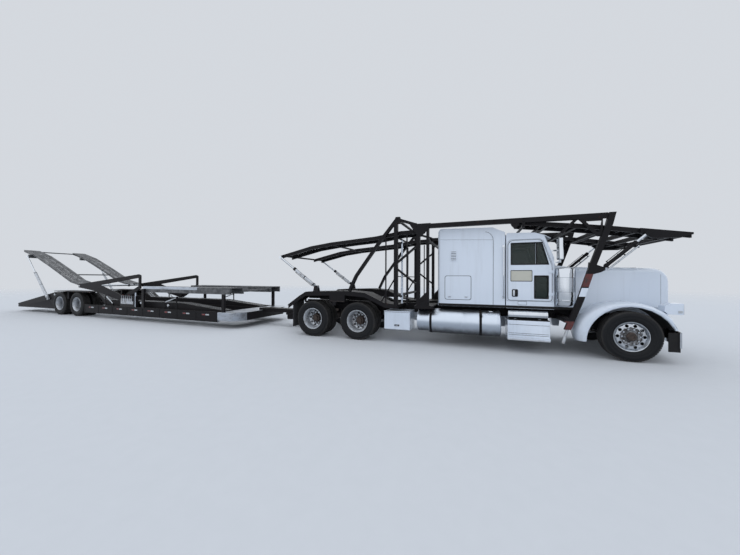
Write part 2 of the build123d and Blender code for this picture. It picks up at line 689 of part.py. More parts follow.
def wheel_polygon(axle_x, y, apothem):
    """A polygon about an axle, at a distance from the centre plane."""
    with BuildSketch(Plane(origin=at(axle_x, y, tyre_radius), x_dir=(1, 0, 0), z_dir=(0, -1, 0))) as outline:
        RegularPolygon(apothem, facet_count, major_radius=False, rotation=180 / facet_count)
    return outline.sketch


def polygon_drum(axle_x, side, y_from, y_to, apothem, mode=Mode.ADD):
    """A drum of flat facets between two distances from the centre plane."""
    extrude(wheel_polygon(axle_x, side * y_from, apothem), amount=y_to - y_from, dir=(0, side, 0), mode=mode)


def make_tyre(axle_x, side, middle, width):
    half, shoulder = width / 2, tyre_radius - 22
    stations = ((-half, shoulder), (26 - half, tyre_radius), (half - 26, tyre_radius), (half, shoulder))
    loft([wheel_polygon(axle_x, side * (middle + y), apothem) for y, apothem in stations], ruled=True)
    polygon_drum(axle_x, side, middle - half - 1, middle + half + 1, rim_radius + seat_gap, mode=Mode.SUBTRACT)


def make_rim(axle_x, side, inner, outer, web, hub, hub_size):
    """A barrel with a web across it and a bored hub: each pair gives limits from the centre plane."""
    polygon_drum(axle_x, side, inner, outer, rim_radius)
    for y_from, y_to in ((inner, web[0]), (web[1], outer)):
        polygon_drum(axle_x, side, y_from, y_to, rim_radius - rim_wall, mode=Mode.SUBTRACT)
    bar((axle_x, side * hub[0], tyre_radius), (axle_x, side * hub[1], tyre_radius), hub_size)
    bar((axle_x, side * (inner - 10), tyre_radius), (axle_x, side * (outer + 10), tyre_radius),
        spindle_radius + running_fit, mode=Mode.SUBTRACT)


# Wheel stations: name, axle x, whether twin
station_table = (("steer", 0, False), ("drive_front", drive_axles[0], True), ("drive_rear", drive_axles[1], True),
                 ("trailer_front", trailer_axles_x[0], True), ("trailer_rear", trailer_axles_x[1], True))
twin_middle = outer_wheel_y - twin_spacing / 2
for station, axle_x, twin in station_table:
    for side, name in ((1, "left"), (-1, "right")):
        with BuildPart() as tyre:
            if twin:
                for middle in (outer_wheel_y, outer_wheel_y - twin_spacing):
                    make_tyre(axle_x, side, middle, tyre_width)
            else:
                make_tyre(axle_x, side, steer_wheel_y, steer_tyre_width)
        save(tyre, f"tyre_{station}_{name}")
        with BuildPart() as rim:
            if twin:
                make_rim(axle_x, side, outer_wheel_y - twin_spacing - 115, outer_wheel_y + 115,
                         (twin_middle - 14, twin_middle + 14), (twin_middle - 70, twin_middle + 105), hub_radius)
            else:
                make_rim(axle_x, side, steer_wheel_y - 130, steer_wheel_y + 130,
                         (steer_wheel_y + 60, steer_wheel_y + 85), (steer_wheel_y - 88, steer_wheel_y + 130),
                         hub_radius - 10)
        save(rim, f"rim_{station}_{name}")


# Lifting cylinders, a pair in each part
def cylinder_barrels(cylinder):
    (base_x, base_z), (eye_x, eye_z), length, radius, rod_radius, middle, eye_width = cylinder
    reach = math.hypot(eye_x - base_x, eye_z - base_z)
    ux, uz = (eye_x - base_x) / reach, (eye_z - base_z) / reach
    with BuildPart() as barrels:
        for side in (1, -1):
            y = side * middle
            bar((base_x, y - eye_width / 2, base_z), (base_x, y + eye_width / 2, base_z), cylinder_eye)
            bar((base_x + 20 * ux, y, base_z + 20 * uz), (base_x + 80 * ux, y, base_z + 80 * uz), eye_width / 2 - 3)
            bar((base_x + 75 * ux, y, base_z + 75 * uz),
                (base_x + length * ux, y, base_z + length * uz), radius)
            bar((base_x + 95 * ux, y, base_z + 95 * uz),
                (base_x + (length + 1) * ux, y, base_z + (length + 1) * uz), rod_radius + running_fit,
                mode=Mode.SUBTRACT)
            bar((base_x, y - eye_width, base_z), (base_x, y + eye_width, base_z), cylinder_pin + running_fit,
                mode=Mode.SUBTRACT)
    return barrels


def cylinder_rods(cylinder, inner_end):
    (base_x, base_z), (eye_x, eye_z), length, radius, rod_radius, middle, eye_width = cylinder
    reach = math.hypot(eye_x - base_x, eye_z - base_z)
    ux, uz = (eye_x - base_x) / reach, (eye_z - base_z) / reach
    with BuildPart() as rods:
        for side in (1, -1):
            y = side * middle
            bar((base_x + inner_end * ux, y, base_z + inner_end * uz), (eye_x, y, eye_z), rod_radius)
            bar((eye_x, y - eye_width / 2, eye_z), (eye_x, y + eye_width / 2, eye_z), cylinder_eye)
    return rods


rod_starts = (("head", head_cylinder, 120), ("rear", rear_cylinder, 560), ("ramp", ramp_cylinder, 1150))
for name, cylinder, inner_end in rod_starts:
    save(cylinder_barrels(cylinder), f"{name}_barrels")
    save(cylinder_rods(cylinder, inner_end), f"{name}_rods")


# Car decks. Each is a pair of tracks: a bent plate between two rails, joined by cross tubes.
def deck_tracks(top, outer, inner, cross_tubes, depth=track_depth):
    for side in (1, -1):
        slab(ribbon(top, track_plate), *sorted((side * inner, side * outer)))
        for y in (inner, outer - track_rail):
            slab(ribbon(top, depth), *sorted((side * y, side * (y + track_rail))))
    for x, z in cross_tubes:
        bar((x, -outer + 5, z), (x, outer - 5, z), 25)


def cylinder_lug(cylinder, track_edge, z_low, z_high):
    """Lugs from the track's edge out to the rod's eye."""
    eye_x, middle, eye_width = cylinder[1][0], cylinder[5], cylinder[6]
    for side in (1, -1):
        lug_y = sorted((side * (track_edge - 5), side * (middle - eye_width / 2 - seat_gap)))
        block((eye_x - 40, eye_x + 40), lug_y, (z_low, z_high))


def deck_hinge(hinge, radius=40, inner=1090):
    """Hinge tubes at both sides, bored for the rack's pins."""
    for side in (1, -1):
        bar((hinge[0], side * (track_outer - track_rail - 30), hinge[1]), (hinge[0], side * track_outer, hinge[1]),
            radius)
        bar((hinge[0], side * inner, hinge[1]), (hinge[0], side * (track_outer + 5), hinge[1]),
            deck_pin_radius + running_fit, mode=Mode.SUBTRACT)


head_top = ((-1950, 2815), (-1890, 2810), (-910, 2690), (-310, 2605), (110, 2535), (860, 2410))
with BuildPart() as head_ramp:
    deck_tracks(head_top, track_outer, track_inner, ((-1500, 2690), (-300, 2540), (820, 2375)))
    deck_hinge(head_hinge)
    cylinder_lug(head_cylinder, track_outer, 2380, 2500)
save(head_ramp, "head_ramp")

rear_top = ((-4050, 2740), (-4500, 2730), (-5150, 2630), (-5830, 2580), (-6420, 2530), (-7040, 2450),
            (-8030, 2220))
with BuildPart() as rear_deck:
    deck_tracks(rear_top, track_outer, track_inner, ((-4700, 2640), (-6420, 2470), (-7950, 2200)))
    deck_hinge(rear_hinge)
    cylinder_lug(rear_cylinder, track_outer, 2130, 2210)
save(rear_deck, "rear_deck")

# Trailer frame: tongue with its coupling pin, nose, side rails, centre rails raised over the axles, and tail.
nose_z = (240, 490)
centre_rail_y = (540, 640)
tail_start = (-19740, 910)
tail_end = (-22830, 340)
cover_z = (975, 1000)
cross_z = (260, 380)
with BuildPart() as trailer:
    tongue_bottom = coupling_plate_z + seat_gap
    block((-9700, coupling_x), (-150, 150), (tongue_bottom, 560))
    with Locations(at(coupling_x, 0, tongue_bottom)):
        Cylinder(150, 560 - tongue_bottom, align=(Align.CENTER, Align.CENTER, Align.MIN))
    with Locations(at(coupling_x, 0, stinger_top - 80)):
        Cylinder(coupling_pin_radius, 200, align=(Align.CENTER, Align.CENTER, Align.MIN))
    with BuildSketch(top_plane(nose_z[0])):
        with BuildLine():
            Polyline((trailer_front, -900), (trailer_front, 900), (-9750, 1270), (-10340, 1270), (-10340, -1270),
                     (-9750, -1270), close=True)
        make_face()
    extrude(amount=nose_z[1] - nose_z[0])
    for cross_x in (-10900, -11900, -12900, -13900, -15200, -16400, -17320):
        block((cross_x - 50, cross_x + 50), (-trailer_side[0], trailer_side[0]), cross_z)
    for side in (1, -1):
        block((trailer_rail_rear, -10330), sorted((side * trailer_side[0], side * trailer_side[1])),
              (trailer_rail_bottom, trailer_rail_top))
        centre_side = sorted((side * centre_rail_y[0], side * centre_rail_y[1]))
        slab([(-10330, 260), (-16900, 260), (-17150, 620), (-19700, 620), (-19900, 220), (tail_end[0], 200),
              tail_end, tail_start, (-19680, 760), (-17000, 760), (-16750, 500), (-10330, 480)], *centre_side)
        tail_side = sorted((side * 1120, side * 1180))
        slab([tail_start, tail_end, (tail_end[0], 200), (-19760, 220)], *tail_side)
        block((-10250, -10150), sorted((side * 1130, side * 1200)), (480, 1050))
        block((-13960, -13840), sorted((side * 1215, side * 1265)), (trailer_rail_top - 10, 1170))
        bar((front_deck_hinge[0], side * 1140, front_deck_hinge[1]),
            (front_deck_hinge[0], side * 1220, front_deck_hinge[1]), deck_pin_radius)
        slab([(-15350, 370), (-15270, 850), (-15130, 850), (-15050, 370)], *sorted((side * 1060, side * 1115)))
        bar((arm_pivot[0], side * 1060, arm_pivot[1]), (arm_pivot[0], side * 1165, arm_pivot[1]), 30)
        base, middle, eye_width = ramp_cylinder[0], ramp_cylinder[5], ramp_cylinder[6]
        bar((base[0], side * 1170, base[1]), (base[0], side * (middle - eye_width / 2 - seat_gap), base[1]), 45)
        bar((base[0], side * 1170, base[1]), (base[0], side * (middle + eye_width / 2), base[1]), cylinder_pin)
    for cross_x in (-19850, -21300, -22780):
        block((cross_x - 50, cross_x + 50), (-1130, 1130), (230, 300))
    block((-15160, -14250), (-1265, -1180), (490, 900))
save(trailer, "trailer_frame")

with BuildPart() as trailer_axles:
    for axle_x in trailer_axles_x:
        bar((axle_x, -620, tyre_radius), (axle_x, 620, tyre_radius), 65)
        bar((axle_x, -1080, tyre_radius), (axle_x, 1080, tyre_radius), spindle_radius)
        for side in (1, -1):
            arm_side = sorted((side * 550, side * 615))
            block((axle_x - 55, axle_x + 55), arm_side, (530, 560))
            block((axle_x - 420, axle_x + 420), arm_side, (560, 595))
            for end_x in (axle_x - 390, axle_x + 390):
                block((end_x - 30, end_x + 30), arm_side, (590, 620))
save(trailer_axles, "trailer_axles")

lower_deck = ((-10345, 520), (-11090, 590), (-12240, 700), (-16550, 700), (-16990, 960))
with BuildPart() as trailer_decks:
    for side in (1, -1):
        slab(ribbon(lower_deck, 25), *sorted((side * 660, side * 1050)))
        for y in (660, 1010):
            web = list(lower_deck) + [(-16990, 900), (-16600, 600), (-16400, cross_z[1]), (-10345, cross_z[1])]
            slab(web, *sorted((side * y, side * (y + 40))))
        slab(ribbon([(tail_start[0], tail_start[1] + 20), (-22860, 355)], 20), *sorted((side * 560, side * 1180)))
        block((-19600, -17030), sorted((side * 645, side * trailer_side[1])), cover_z)
        block((-18635, -18535), sorted((side * centre_rail_y[1], side * 1250)), (680, cover_z[0]))
        slab([(-17030, 1000), (-16990, 960), (-16990, 930), (-17030, 975)], *sorted((side * 660, side * 1050)))
save(trailer_decks, "trailer_decks")

# Front upper deck of the trailer, hinged at its rear end and resting on its front posts.
front_top = ((-9900, 1250), (-13985, 1250))
with BuildPart() as front_deck:
    for side in (1, -1):
        slab(ribbon(front_top, 20), *sorted((side * 640, side * 1200)))
        for y in (640, 1140):
            slab(ribbon(front_top, 200), *sorted((side * y, side * (y + 60))))
        bar((front_deck_hinge[0], side * 1130, front_deck_hinge[1]),
            (front_deck_hinge[0], side * 1210, front_deck_hinge[1]), deck_pin_radius + running_fit,
            mode=Mode.SUBTRACT)
    for cross_x in (-10000, -11900, -13700):
        bar((cross_x, -650, 1140), (cross_x, 650, 1140), 35)
save(front_deck, "front_upper_deck")

# Rear upper ramp: lift arms, the shaft at their tails, and the ramp's two tracks.
arm_outline = [(-18060, 1160), (-18060, 1285), (-14300, 1690), (-14190, 1650), (-14190, 1180), (-15080, 700),
               (-15320, 700), (-16900, 1030)]
arm_window = [(-16600, 1270), (-15260, 900), (-15100, 900), (-14300, 1260), (-14300, 1560)]
shaft_radius = 40
with BuildPart() as lift_arms:
    for side in (1, -1):
        arm_side = sorted((side * arm_y[0], side * arm_y[1]))
        slab(arm_outline, *arm_side)
        slab(arm_window, arm_side[0] - 10, arm_side[1] + 10, mode=Mode.SUBTRACT)
        for (hole_x, hole_z), radius in ((arm_pivot, 30), (arm_tail, 30)):
            bar((hole_x, side * (arm_y[0] - 10), hole_z), (hole_x, side * (arm_y[1] + 10), hole_z),
                radius + running_fit, mode=Mode.SUBTRACT)
save(lift_arms, "lift_arms")

with BuildPart() as ramp_shaft:
    bar((arm_tail[0], -1115, arm_tail[1]), (arm_tail[0], 1115, arm_tail[1]), shaft_radius)
    bar((arm_tail[0], -1165, arm_tail[1]), (arm_tail[0], 1165, arm_tail[1]), 30)
save(ramp_shaft, "ramp_shaft")

ramp_top = ((-17940, 1290), (-18750, 1450), (-20370, 2120), (-21500, 2560), (-22550, 2840))
with BuildPart() as rear_ramp:
    deck_tracks(ramp_top, ramp_outer, track_inner, ((-19500, 1690), (-22480, 2770)))
    for side in (1, -1):
        for y in (track_inner, ramp_outer - track_rail):
            rail_y = sorted((side * y, side * (y + track_rail)))
            bar((arm_tail[0], rail_y[0], arm_tail[1]), (arm_tail[0], rail_y[1], arm_tail[1]), 65)
        lug_end = ramp_cylinder[5] - ramp_cylinder[6] / 2 - seat_gap
        block((-21930, -21830), sorted((side * track_inner, side * lug_end)), (2450, 2600))
    bar((arm_tail[0], -1200, arm_tail[1]), (arm_tail[0], 1200, arm_tail[1]), shaft_radius + running_fit,
        mode=Mode.SUBTRACT)
save(rear_ramp, "rear_ramp")
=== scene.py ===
"""Looks of the car transporter truck: finishes, wheels, bodywork trim, deck tracks, lamps and stage."""
import json
import math

import bmesh
import bpy
from bpy.props import FloatProperty, FloatVectorProperty, IntProperty, PointerProperty
from mathutils import Matrix, Vector


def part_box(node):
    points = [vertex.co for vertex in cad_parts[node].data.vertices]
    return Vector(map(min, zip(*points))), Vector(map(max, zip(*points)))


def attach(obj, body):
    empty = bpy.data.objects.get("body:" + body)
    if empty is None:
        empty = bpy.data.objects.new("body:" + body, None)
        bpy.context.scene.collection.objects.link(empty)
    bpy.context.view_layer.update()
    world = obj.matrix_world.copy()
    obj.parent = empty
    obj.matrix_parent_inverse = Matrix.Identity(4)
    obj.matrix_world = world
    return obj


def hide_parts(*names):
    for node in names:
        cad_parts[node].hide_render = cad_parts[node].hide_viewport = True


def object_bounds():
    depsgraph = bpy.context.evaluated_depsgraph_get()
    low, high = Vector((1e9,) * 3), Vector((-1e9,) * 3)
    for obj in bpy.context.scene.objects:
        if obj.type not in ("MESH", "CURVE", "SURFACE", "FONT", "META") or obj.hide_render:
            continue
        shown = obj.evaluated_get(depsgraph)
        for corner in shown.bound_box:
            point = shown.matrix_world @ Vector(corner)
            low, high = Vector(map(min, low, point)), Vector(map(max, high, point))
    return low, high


bl_info = {
    "name": "Car Transporter Finish",
    "version": (1, 0, 0),
    "blender": (4, 5, 0),
    "location": "View3D > Sidebar > Transporter",
    "description": "Dresses the frame of a car transporter truck with its finishes and fittings",
    "category": "Object",
}

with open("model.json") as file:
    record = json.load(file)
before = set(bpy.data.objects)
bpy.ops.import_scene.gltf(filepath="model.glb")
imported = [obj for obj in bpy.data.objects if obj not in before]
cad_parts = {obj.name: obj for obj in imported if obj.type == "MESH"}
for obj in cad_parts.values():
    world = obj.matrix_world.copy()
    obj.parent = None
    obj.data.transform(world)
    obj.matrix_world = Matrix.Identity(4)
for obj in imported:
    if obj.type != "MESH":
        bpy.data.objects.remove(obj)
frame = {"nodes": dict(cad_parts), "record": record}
nodes = frame["nodes"]
body_of_node = {node: body for body, names in frame["record"]["behaviour"]["bodies"].items() for node in names}
cad_box = [list(corner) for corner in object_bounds()]
# No ring round a cylinder stands further out than this
HALF_WIDTH = cad_box[1][1]

# Places along the truck are taken from the steer axle, in metres, forwards positive
tyre_low, tyre_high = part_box("tyre_steer_left")
AXLE, WHEEL_Z = (tyre_low.x + tyre_high.x) / 2, (tyre_low.z + tyre_high.z) / 2
TYRE_RADIUS = (tyre_high.z - tyre_low.z) / 2
SIDES = ((1, "left"), (-1, "right"))
AHEAD, ACROSS, UPWARD = (1, 0, 0), (0, 1, 0), (0, 0, 1)


class TransporterSizes(bpy.types.PropertyGroup):
    """Sizes that a user would change."""

    tread_depth: FloatProperty(name="Tread depth", description="Depth of the tyre grooves",
                               default=0.012, unit="LENGTH")
    tread_blocks: IntProperty(name="Tread blocks", description="Blocks round each tyre", default=64)
    hand_holes: IntProperty(name="Hand holes", description="Holes round each wheel disc", default=10)
    wheel_nuts: IntProperty(name="Wheel nuts", description="Nuts round each hub", default=10)
    hole_pitch: FloatProperty(name="Track hole pitch", description="Spacing of the holes in the tracks",
                              default=0.1, unit="LENGTH")
    hole_radius: FloatProperty(name="Track hole radius", description="Radius of the holes in the tracks",
                               default=0.028, unit="LENGTH")


class TransporterColours(bpy.types.PropertyGroup):
    """Colours that a user would change."""

    cab: FloatVectorProperty(name="Cab paint", description="White of the cab, hood and boxes", subtype="COLOR",
                             default=(0.56, 0.625, 0.72))
    steel: FloatVectorProperty(name="Rack paint", description="Black of the rack and trailer", subtype="COLOR",
                               default=(0.011, 0.0105, 0.012))
    dust: FloatVectorProperty(name="Road dust", description="Dust on the lower surfaces", subtype="COLOR",
                              default=(0.07, 0.062, 0.054))
    rust: FloatVectorProperty(name="Rust", description="Rust where the paint is worn", subtype="COLOR",
                              default=(0.07, 0.03, 0.018))
    hub: FloatVectorProperty(name="Hub", description="Oily brown of the hubs", subtype="COLOR",
                             default=(0.05, 0.034, 0.028))
    track: FloatVectorProperty(name="Track", description="Grey of the worn deck tracks", subtype="COLOR",
                               default=(0.075, 0.08, 0.088))


def sizes():
    return bpy.context.scene.transporter_sizes


def colours():
    return bpy.context.scene.transporter_colours


# Node trees, written as arithmetic on wires
class Wire:
    """A socket of a node tree. Arithmetic on it adds Math nodes, and node() adds any other kind."""

    def __init__(self, tree, socket=None):
        self.tree, self.socket = tree, socket

    def feed(self, target, value):
        """Gives a socket a wire or a value."""
        if isinstance(value, Wire):
            self.tree.links.new(value.socket, target)
        else:
            target.default_value = value

    def node(self, kind, settings=None, out=0, **values):
        """Adds a node: its settings first, then values or wires for its sockets, named or as i and a number."""
        made = self.tree.nodes.new(kind)
        for name, value in (settings or {}).items():
            setattr(made, name, value)
        for name, value in values.items():
            by_number = name[0] == "i" and name[1:].isdigit()
            self.feed(made.inputs[int(name[1:]) if by_number else name.replace("_", " ")], value)
        return Wire(self.tree, made.outputs[out])

    def math(self, operation, other=0.0, clamp=False):
        return self.node("ShaderNodeMath", {"operation": operation, "use_clamp": clamp}, i0=self, i1=other)

    def math_after(self, operation, other):
        """The same with this wire second."""
        return self.node("ShaderNodeMath", {"operation": operation}, i0=other, i1=self)

    def __add__(self, other):
        return self.math("ADD", other)

    def __sub__(self, other):
        return self.math("SUBTRACT", other)

    def __mul__(self, other):
        return self.math("MULTIPLY", other)

    def __truediv__(self, other):
        return self.math("DIVIDE", other)

    def __rsub__(self, other):
        return self.math_after("SUBTRACT", other)

    def __rtruediv__(self, other):
        return self.math_after("DIVIDE", other)

    __radd__, __rmul__ = __add__, __mul__

    def clamped(self):
        return self.math("ADD", 0.0, clamp=True)

    def ramp(self, low, high):
        """0 below low, 1 above high, smooth between."""
        return self.node("ShaderNodeMapRange", {"interpolation_type": "SMOOTHSTEP"},
                         Value=self, From_Min=low, From_Max=high)

    def mix(self, colour_a, colour_b):
        """Colour a where this wire is 0, colour b where it is 1."""
        return self.node("ShaderNodeMix", {"data_type": "RGBA"}, out=2, i0=self, i6=colour_a, i7=colour_b)


class Finish:
    """A material with one Principled shader and the wires that most finishes read."""

    def __init__(self, name, **constants):
        self.material = bpy.data.materials.new(name)
        self.material.use_nodes = True
        tree = self.material.node_tree
        self.shader = tree.nodes["Principled BSDF"]
        self.net = Wire(tree)
        self.set(**constants)
        self.place = self.net.node("ShaderNodeTexCoord", out=3)
        split = self.net.node("ShaderNodeSeparateXYZ", i0=self.place).socket.node
        self.x, self.y, self.z = (Wire(tree, socket) for socket in split.outputs)
        self.up = self.net.node("ShaderNodeSeparateXYZ", out=2, i0=self.net.node("ShaderNodeNewGeometry", out=1))

    def noise(self, scale, detail=4.0, roughness=0.55, stretch=None):
        """Noise over the object, with an optional stretch along each axis."""
        place = self.net.node("ShaderNodeMapping", i0=self.place, Scale=stretch) if stretch else self.place
        return self.net.node("ShaderNodeTexNoise", Vector=place, Scale=scale, Detail=detail, Roughness=roughness)

    def set(self, **values):
        for socket, value in values.items():
            self.net.feed(self.shader.inputs[socket.replace("_", " ")], value)

    def bumped(self, bump, strength, distance):
        """The finished material, with its bump."""
        self.set(Normal=self.net.node("ShaderNodeBump", Height=bump, Strength=strength, Distance=distance))
        return self.material


def toned(colour, share=0.0, towards=0.0):
    """A colour, or one of the panel's by its name, moved by a share towards black or white."""
    values = getattr(colours(), colour) if isinstance(colour, str) else colour
    return (*(c + (towards - c) * share for c in values), 1)


# Finishes
BRIGHT_METAL = (0.5, 0.53, 0.57, 1)


def white_paint():
    """Gloss white with road dust thickening towards the bottom and faint streaks down the sides."""
    f = Finish("white_paint", Coat_Weight=0.6, Coat_Roughness=0.08)
    dust_low = 1 - f.z.ramp(0.15, 1.1)
    grime = (f.noise(3.0, 6) * 0.9 + dust_low * 0.4).ramp(0.66, 1.05) * 0.32
    streaks = f.noise(9.0, 3, stretch=(1.0, 1.0, 0.08)).ramp(0.52, 0.75) * 0.08
    film = (grime + streaks).clamped()
    f.set(Base_Color=film.mix(toned("cab"), toned("dust")), Roughness=film * 0.5 + f.noise(40, 2) * 0.06 + 0.2)
    return f.bumped(f.noise(260, 2), 0.05, 0.0004)


def black_steel():
    """Worn black chassis paint: dust on upper faces, rust at knocks, soft sheen elsewhere."""
    f = Finish("black_steel", Specular_IOR_Level=0.08)
    dust = (f.noise(2.2, 7, 0.6) * 0.8 + f.up.ramp(0.2, 1.0) * 0.35).ramp(0.5, 1.0) * 0.22
    rust = f.noise(13, 8, 0.7).ramp(0.6, 0.72) * f.noise(1.1, 2).ramp(0.42, 0.6)
    f.set(Base_Color=rust.mix(dust.mix(toned("steel"), toned("dust")), toned("rust")),
          Roughness=(dust * 0.35 + rust * 0.4 + f.noise(30, 3) * 0.12 + 0.38).clamped())
    return f.bumped(f.noise(90, 5, 0.65) + rust * 0.6, 0.25, 0.0015)


def tyre_rubber():
    """Dark rubber, dusty on the tread and in the rings of the side wall."""
    f = Finish("tyre_rubber", Specular_IOR_Level=0.15)
    tread = f.net.node("ShaderNodeAttribute", {"attribute_name": "tread"}, out=2)
    dust = (f.noise(7, 6, 0.6) * 0.55 + tread * 0.45).ramp(0.36, 1.0) * 0.45
    f.set(Base_Color=dust.mix((0.009, 0.0098, 0.0115, 1), (0.075, 0.07, 0.065, 1)),
          Roughness=(dust * 0.3 + f.noise(25, 3) * 0.15 + 0.5).clamped())
    return f.bumped(f.noise(120, 5), 0.25, 0.001)


def polished_aluminium():
    """Bright metal with fine polishing marks and a little brake dust."""
    f = Finish("polished_aluminium", Metallic=1.0)
    dirt = f.noise(6, 6, 0.6).ramp(0.45, 0.8) * 0.55
    marks = f.noise(160, 2, stretch=(1, 0.05, 1))
    f.set(Base_Color=dirt.mix(BRIGHT_METAL, (0.15, 0.145, 0.14, 1)),
          Roughness=(dirt * 0.35 + marks * 0.12 + 0.24).clamped())
    return f.bumped(marks, 0.06, 0.0005)


def chrome():
    """Chrome plate with a film of dust and water spots."""
    f = Finish("bright_chrome", Metallic=1.0)
    film = (f.noise(5, 6, 0.65) * 0.8 + (1 - f.z.ramp(0.2, 1.6)) * 0.3).ramp(0.5, 0.95) * 0.4
    spots = f.noise(85, 3).ramp(0.62, 0.7) * 0.25
    f.set(Base_Color=film.mix(BRIGHT_METAL, (0.16, 0.145, 0.13, 1)),
          Roughness=(film * 0.5 + spots * 0.3 + 0.07).clamped())
    return f.bumped(f.noise(20, 3), 0.03, 0.001)


def tank_metal():
    """Polished tank: bright, with soft bands round it, and darker towards the bottom."""
    f = Finish("tank_metal", Metallic=1.0)
    # Darker towards the bottom of the tank, down to near black
    low_darkening = (f.noise(7, 6, 0.6, (1, 1, 0.5)) * 0.35 + (1 - f.z.ramp(0.24, 0.66))).ramp(0.55, 1.15) * 0.85
    bands = f.noise(30, 2, stretch=(1, 0.03, 0.03))
    f.set(Base_Color=low_darkening.mix((0.50, 0.555, 0.63, 1), (0.05, 0.047, 0.045, 1)),
          Roughness=(low_darkening * 0.4 + bands * 0.12 + 0.3).clamped())
    return f.bumped(bands, 0.05, 0.001)


def track_metal():
    """Worn, dusty grey metal of the wheel tracks."""
    f = Finish("track_metal", Metallic=0.55)
    worn = f.noise(5, 7, 0.65).ramp(0.35, 0.7)
    rust = f.noise(17, 7, 0.7).ramp(0.6, 0.72) * 0.7
    f.set(Base_Color=rust.mix(worn.mix(toned("track", 0.35), toned("track", 0.06, 1.0)), toned("rust")),
          Roughness=(rust * 0.3 + worn * -0.15 + 0.55).clamped())
    return f.bumped(f.noise(110, 5), 0.25, 0.001)


def window_glass():
    """Tinted glass, dusty at its edges."""
    f = Finish("window_glass", IOR=1.45, Roughness=0.05, Specular_IOR_Level=0.35)
    dust = f.noise(5, 5).ramp(0.5, 0.85) * 0.25
    f.set(Base_Color=dust.mix((0.012, 0.022, 0.02, 1), (0.06, 0.068, 0.064, 1)), Alpha=dust * 0.3 + 0.7)
    return f.material


def seat_fabric():
    """Woven seat cloth."""
    f = Finish("seat_fabric", Sheen_Weight=0.3)
    weave = f.net.node("ShaderNodeTexChecker", Vector=f.place, Scale=420.0, out=1)
    f.set(Base_Color=(weave * 0.5).mix((0.09, 0.085, 0.08, 1), (0.045, 0.045, 0.05, 1)),
          Roughness=f.noise(20) * 0.1 + 0.8)
    return f.bumped(weave, 0.3, 0.001)


def lens(name, colour):
    """Moulded lamp lens with fine ribs."""
    f = Finish(name, Roughness=0.15, Coat_Weight=0.6)
    ribs = f.net.node("ShaderNodeTexWave", {"bands_direction": "X"}, Vector=f.place, Scale=40.0)
    f.set(Base_Color=(ribs * 0.35).mix(toned(colour), toned(colour, 0.6)))
    return f.bumped(ribs, 0.4, 0.001)


def soiled(name, clean, dirt, patches, edges, rough, grain, bump, share=1.0, **constants):
    """A finish whose clean colour gives way to dirt in patches.

    Dirt is a colour and, where it is darkened, by which share. Patches and grain are a noise each, edges the heights
    where dirt begins and is full, and share how much it covers. Rough is the dirt's part in the roughness and the clean
    roughness. A noise that comes before them takes the dirt's place.
    """
    f = Finish(name, **constants)
    dirty = f.noise(*patches).ramp(*edges) * share
    *uneven, part, base = rough
    f.set(Base_Color=dirty.mix(toned(clean), toned(*dirt)),
          Roughness=(f.noise(*uneven) if uneven else dirty) * part + base)
    return f.bumped(f.noise(*grain), *bump)


def plastic(name, colour, roughness=0.6):
    """Moulded plastic or rubber trim with fine grain."""
    return soiled(name, colour, ("dust",), patches=(6, 5), edges=(0.5, 0.85), share=0.25,
                  rough=(30, 2, 0.1, roughness), grain=(350, 2), bump=(0.12, 0.0004), Specular_IOR_Level=0.25)


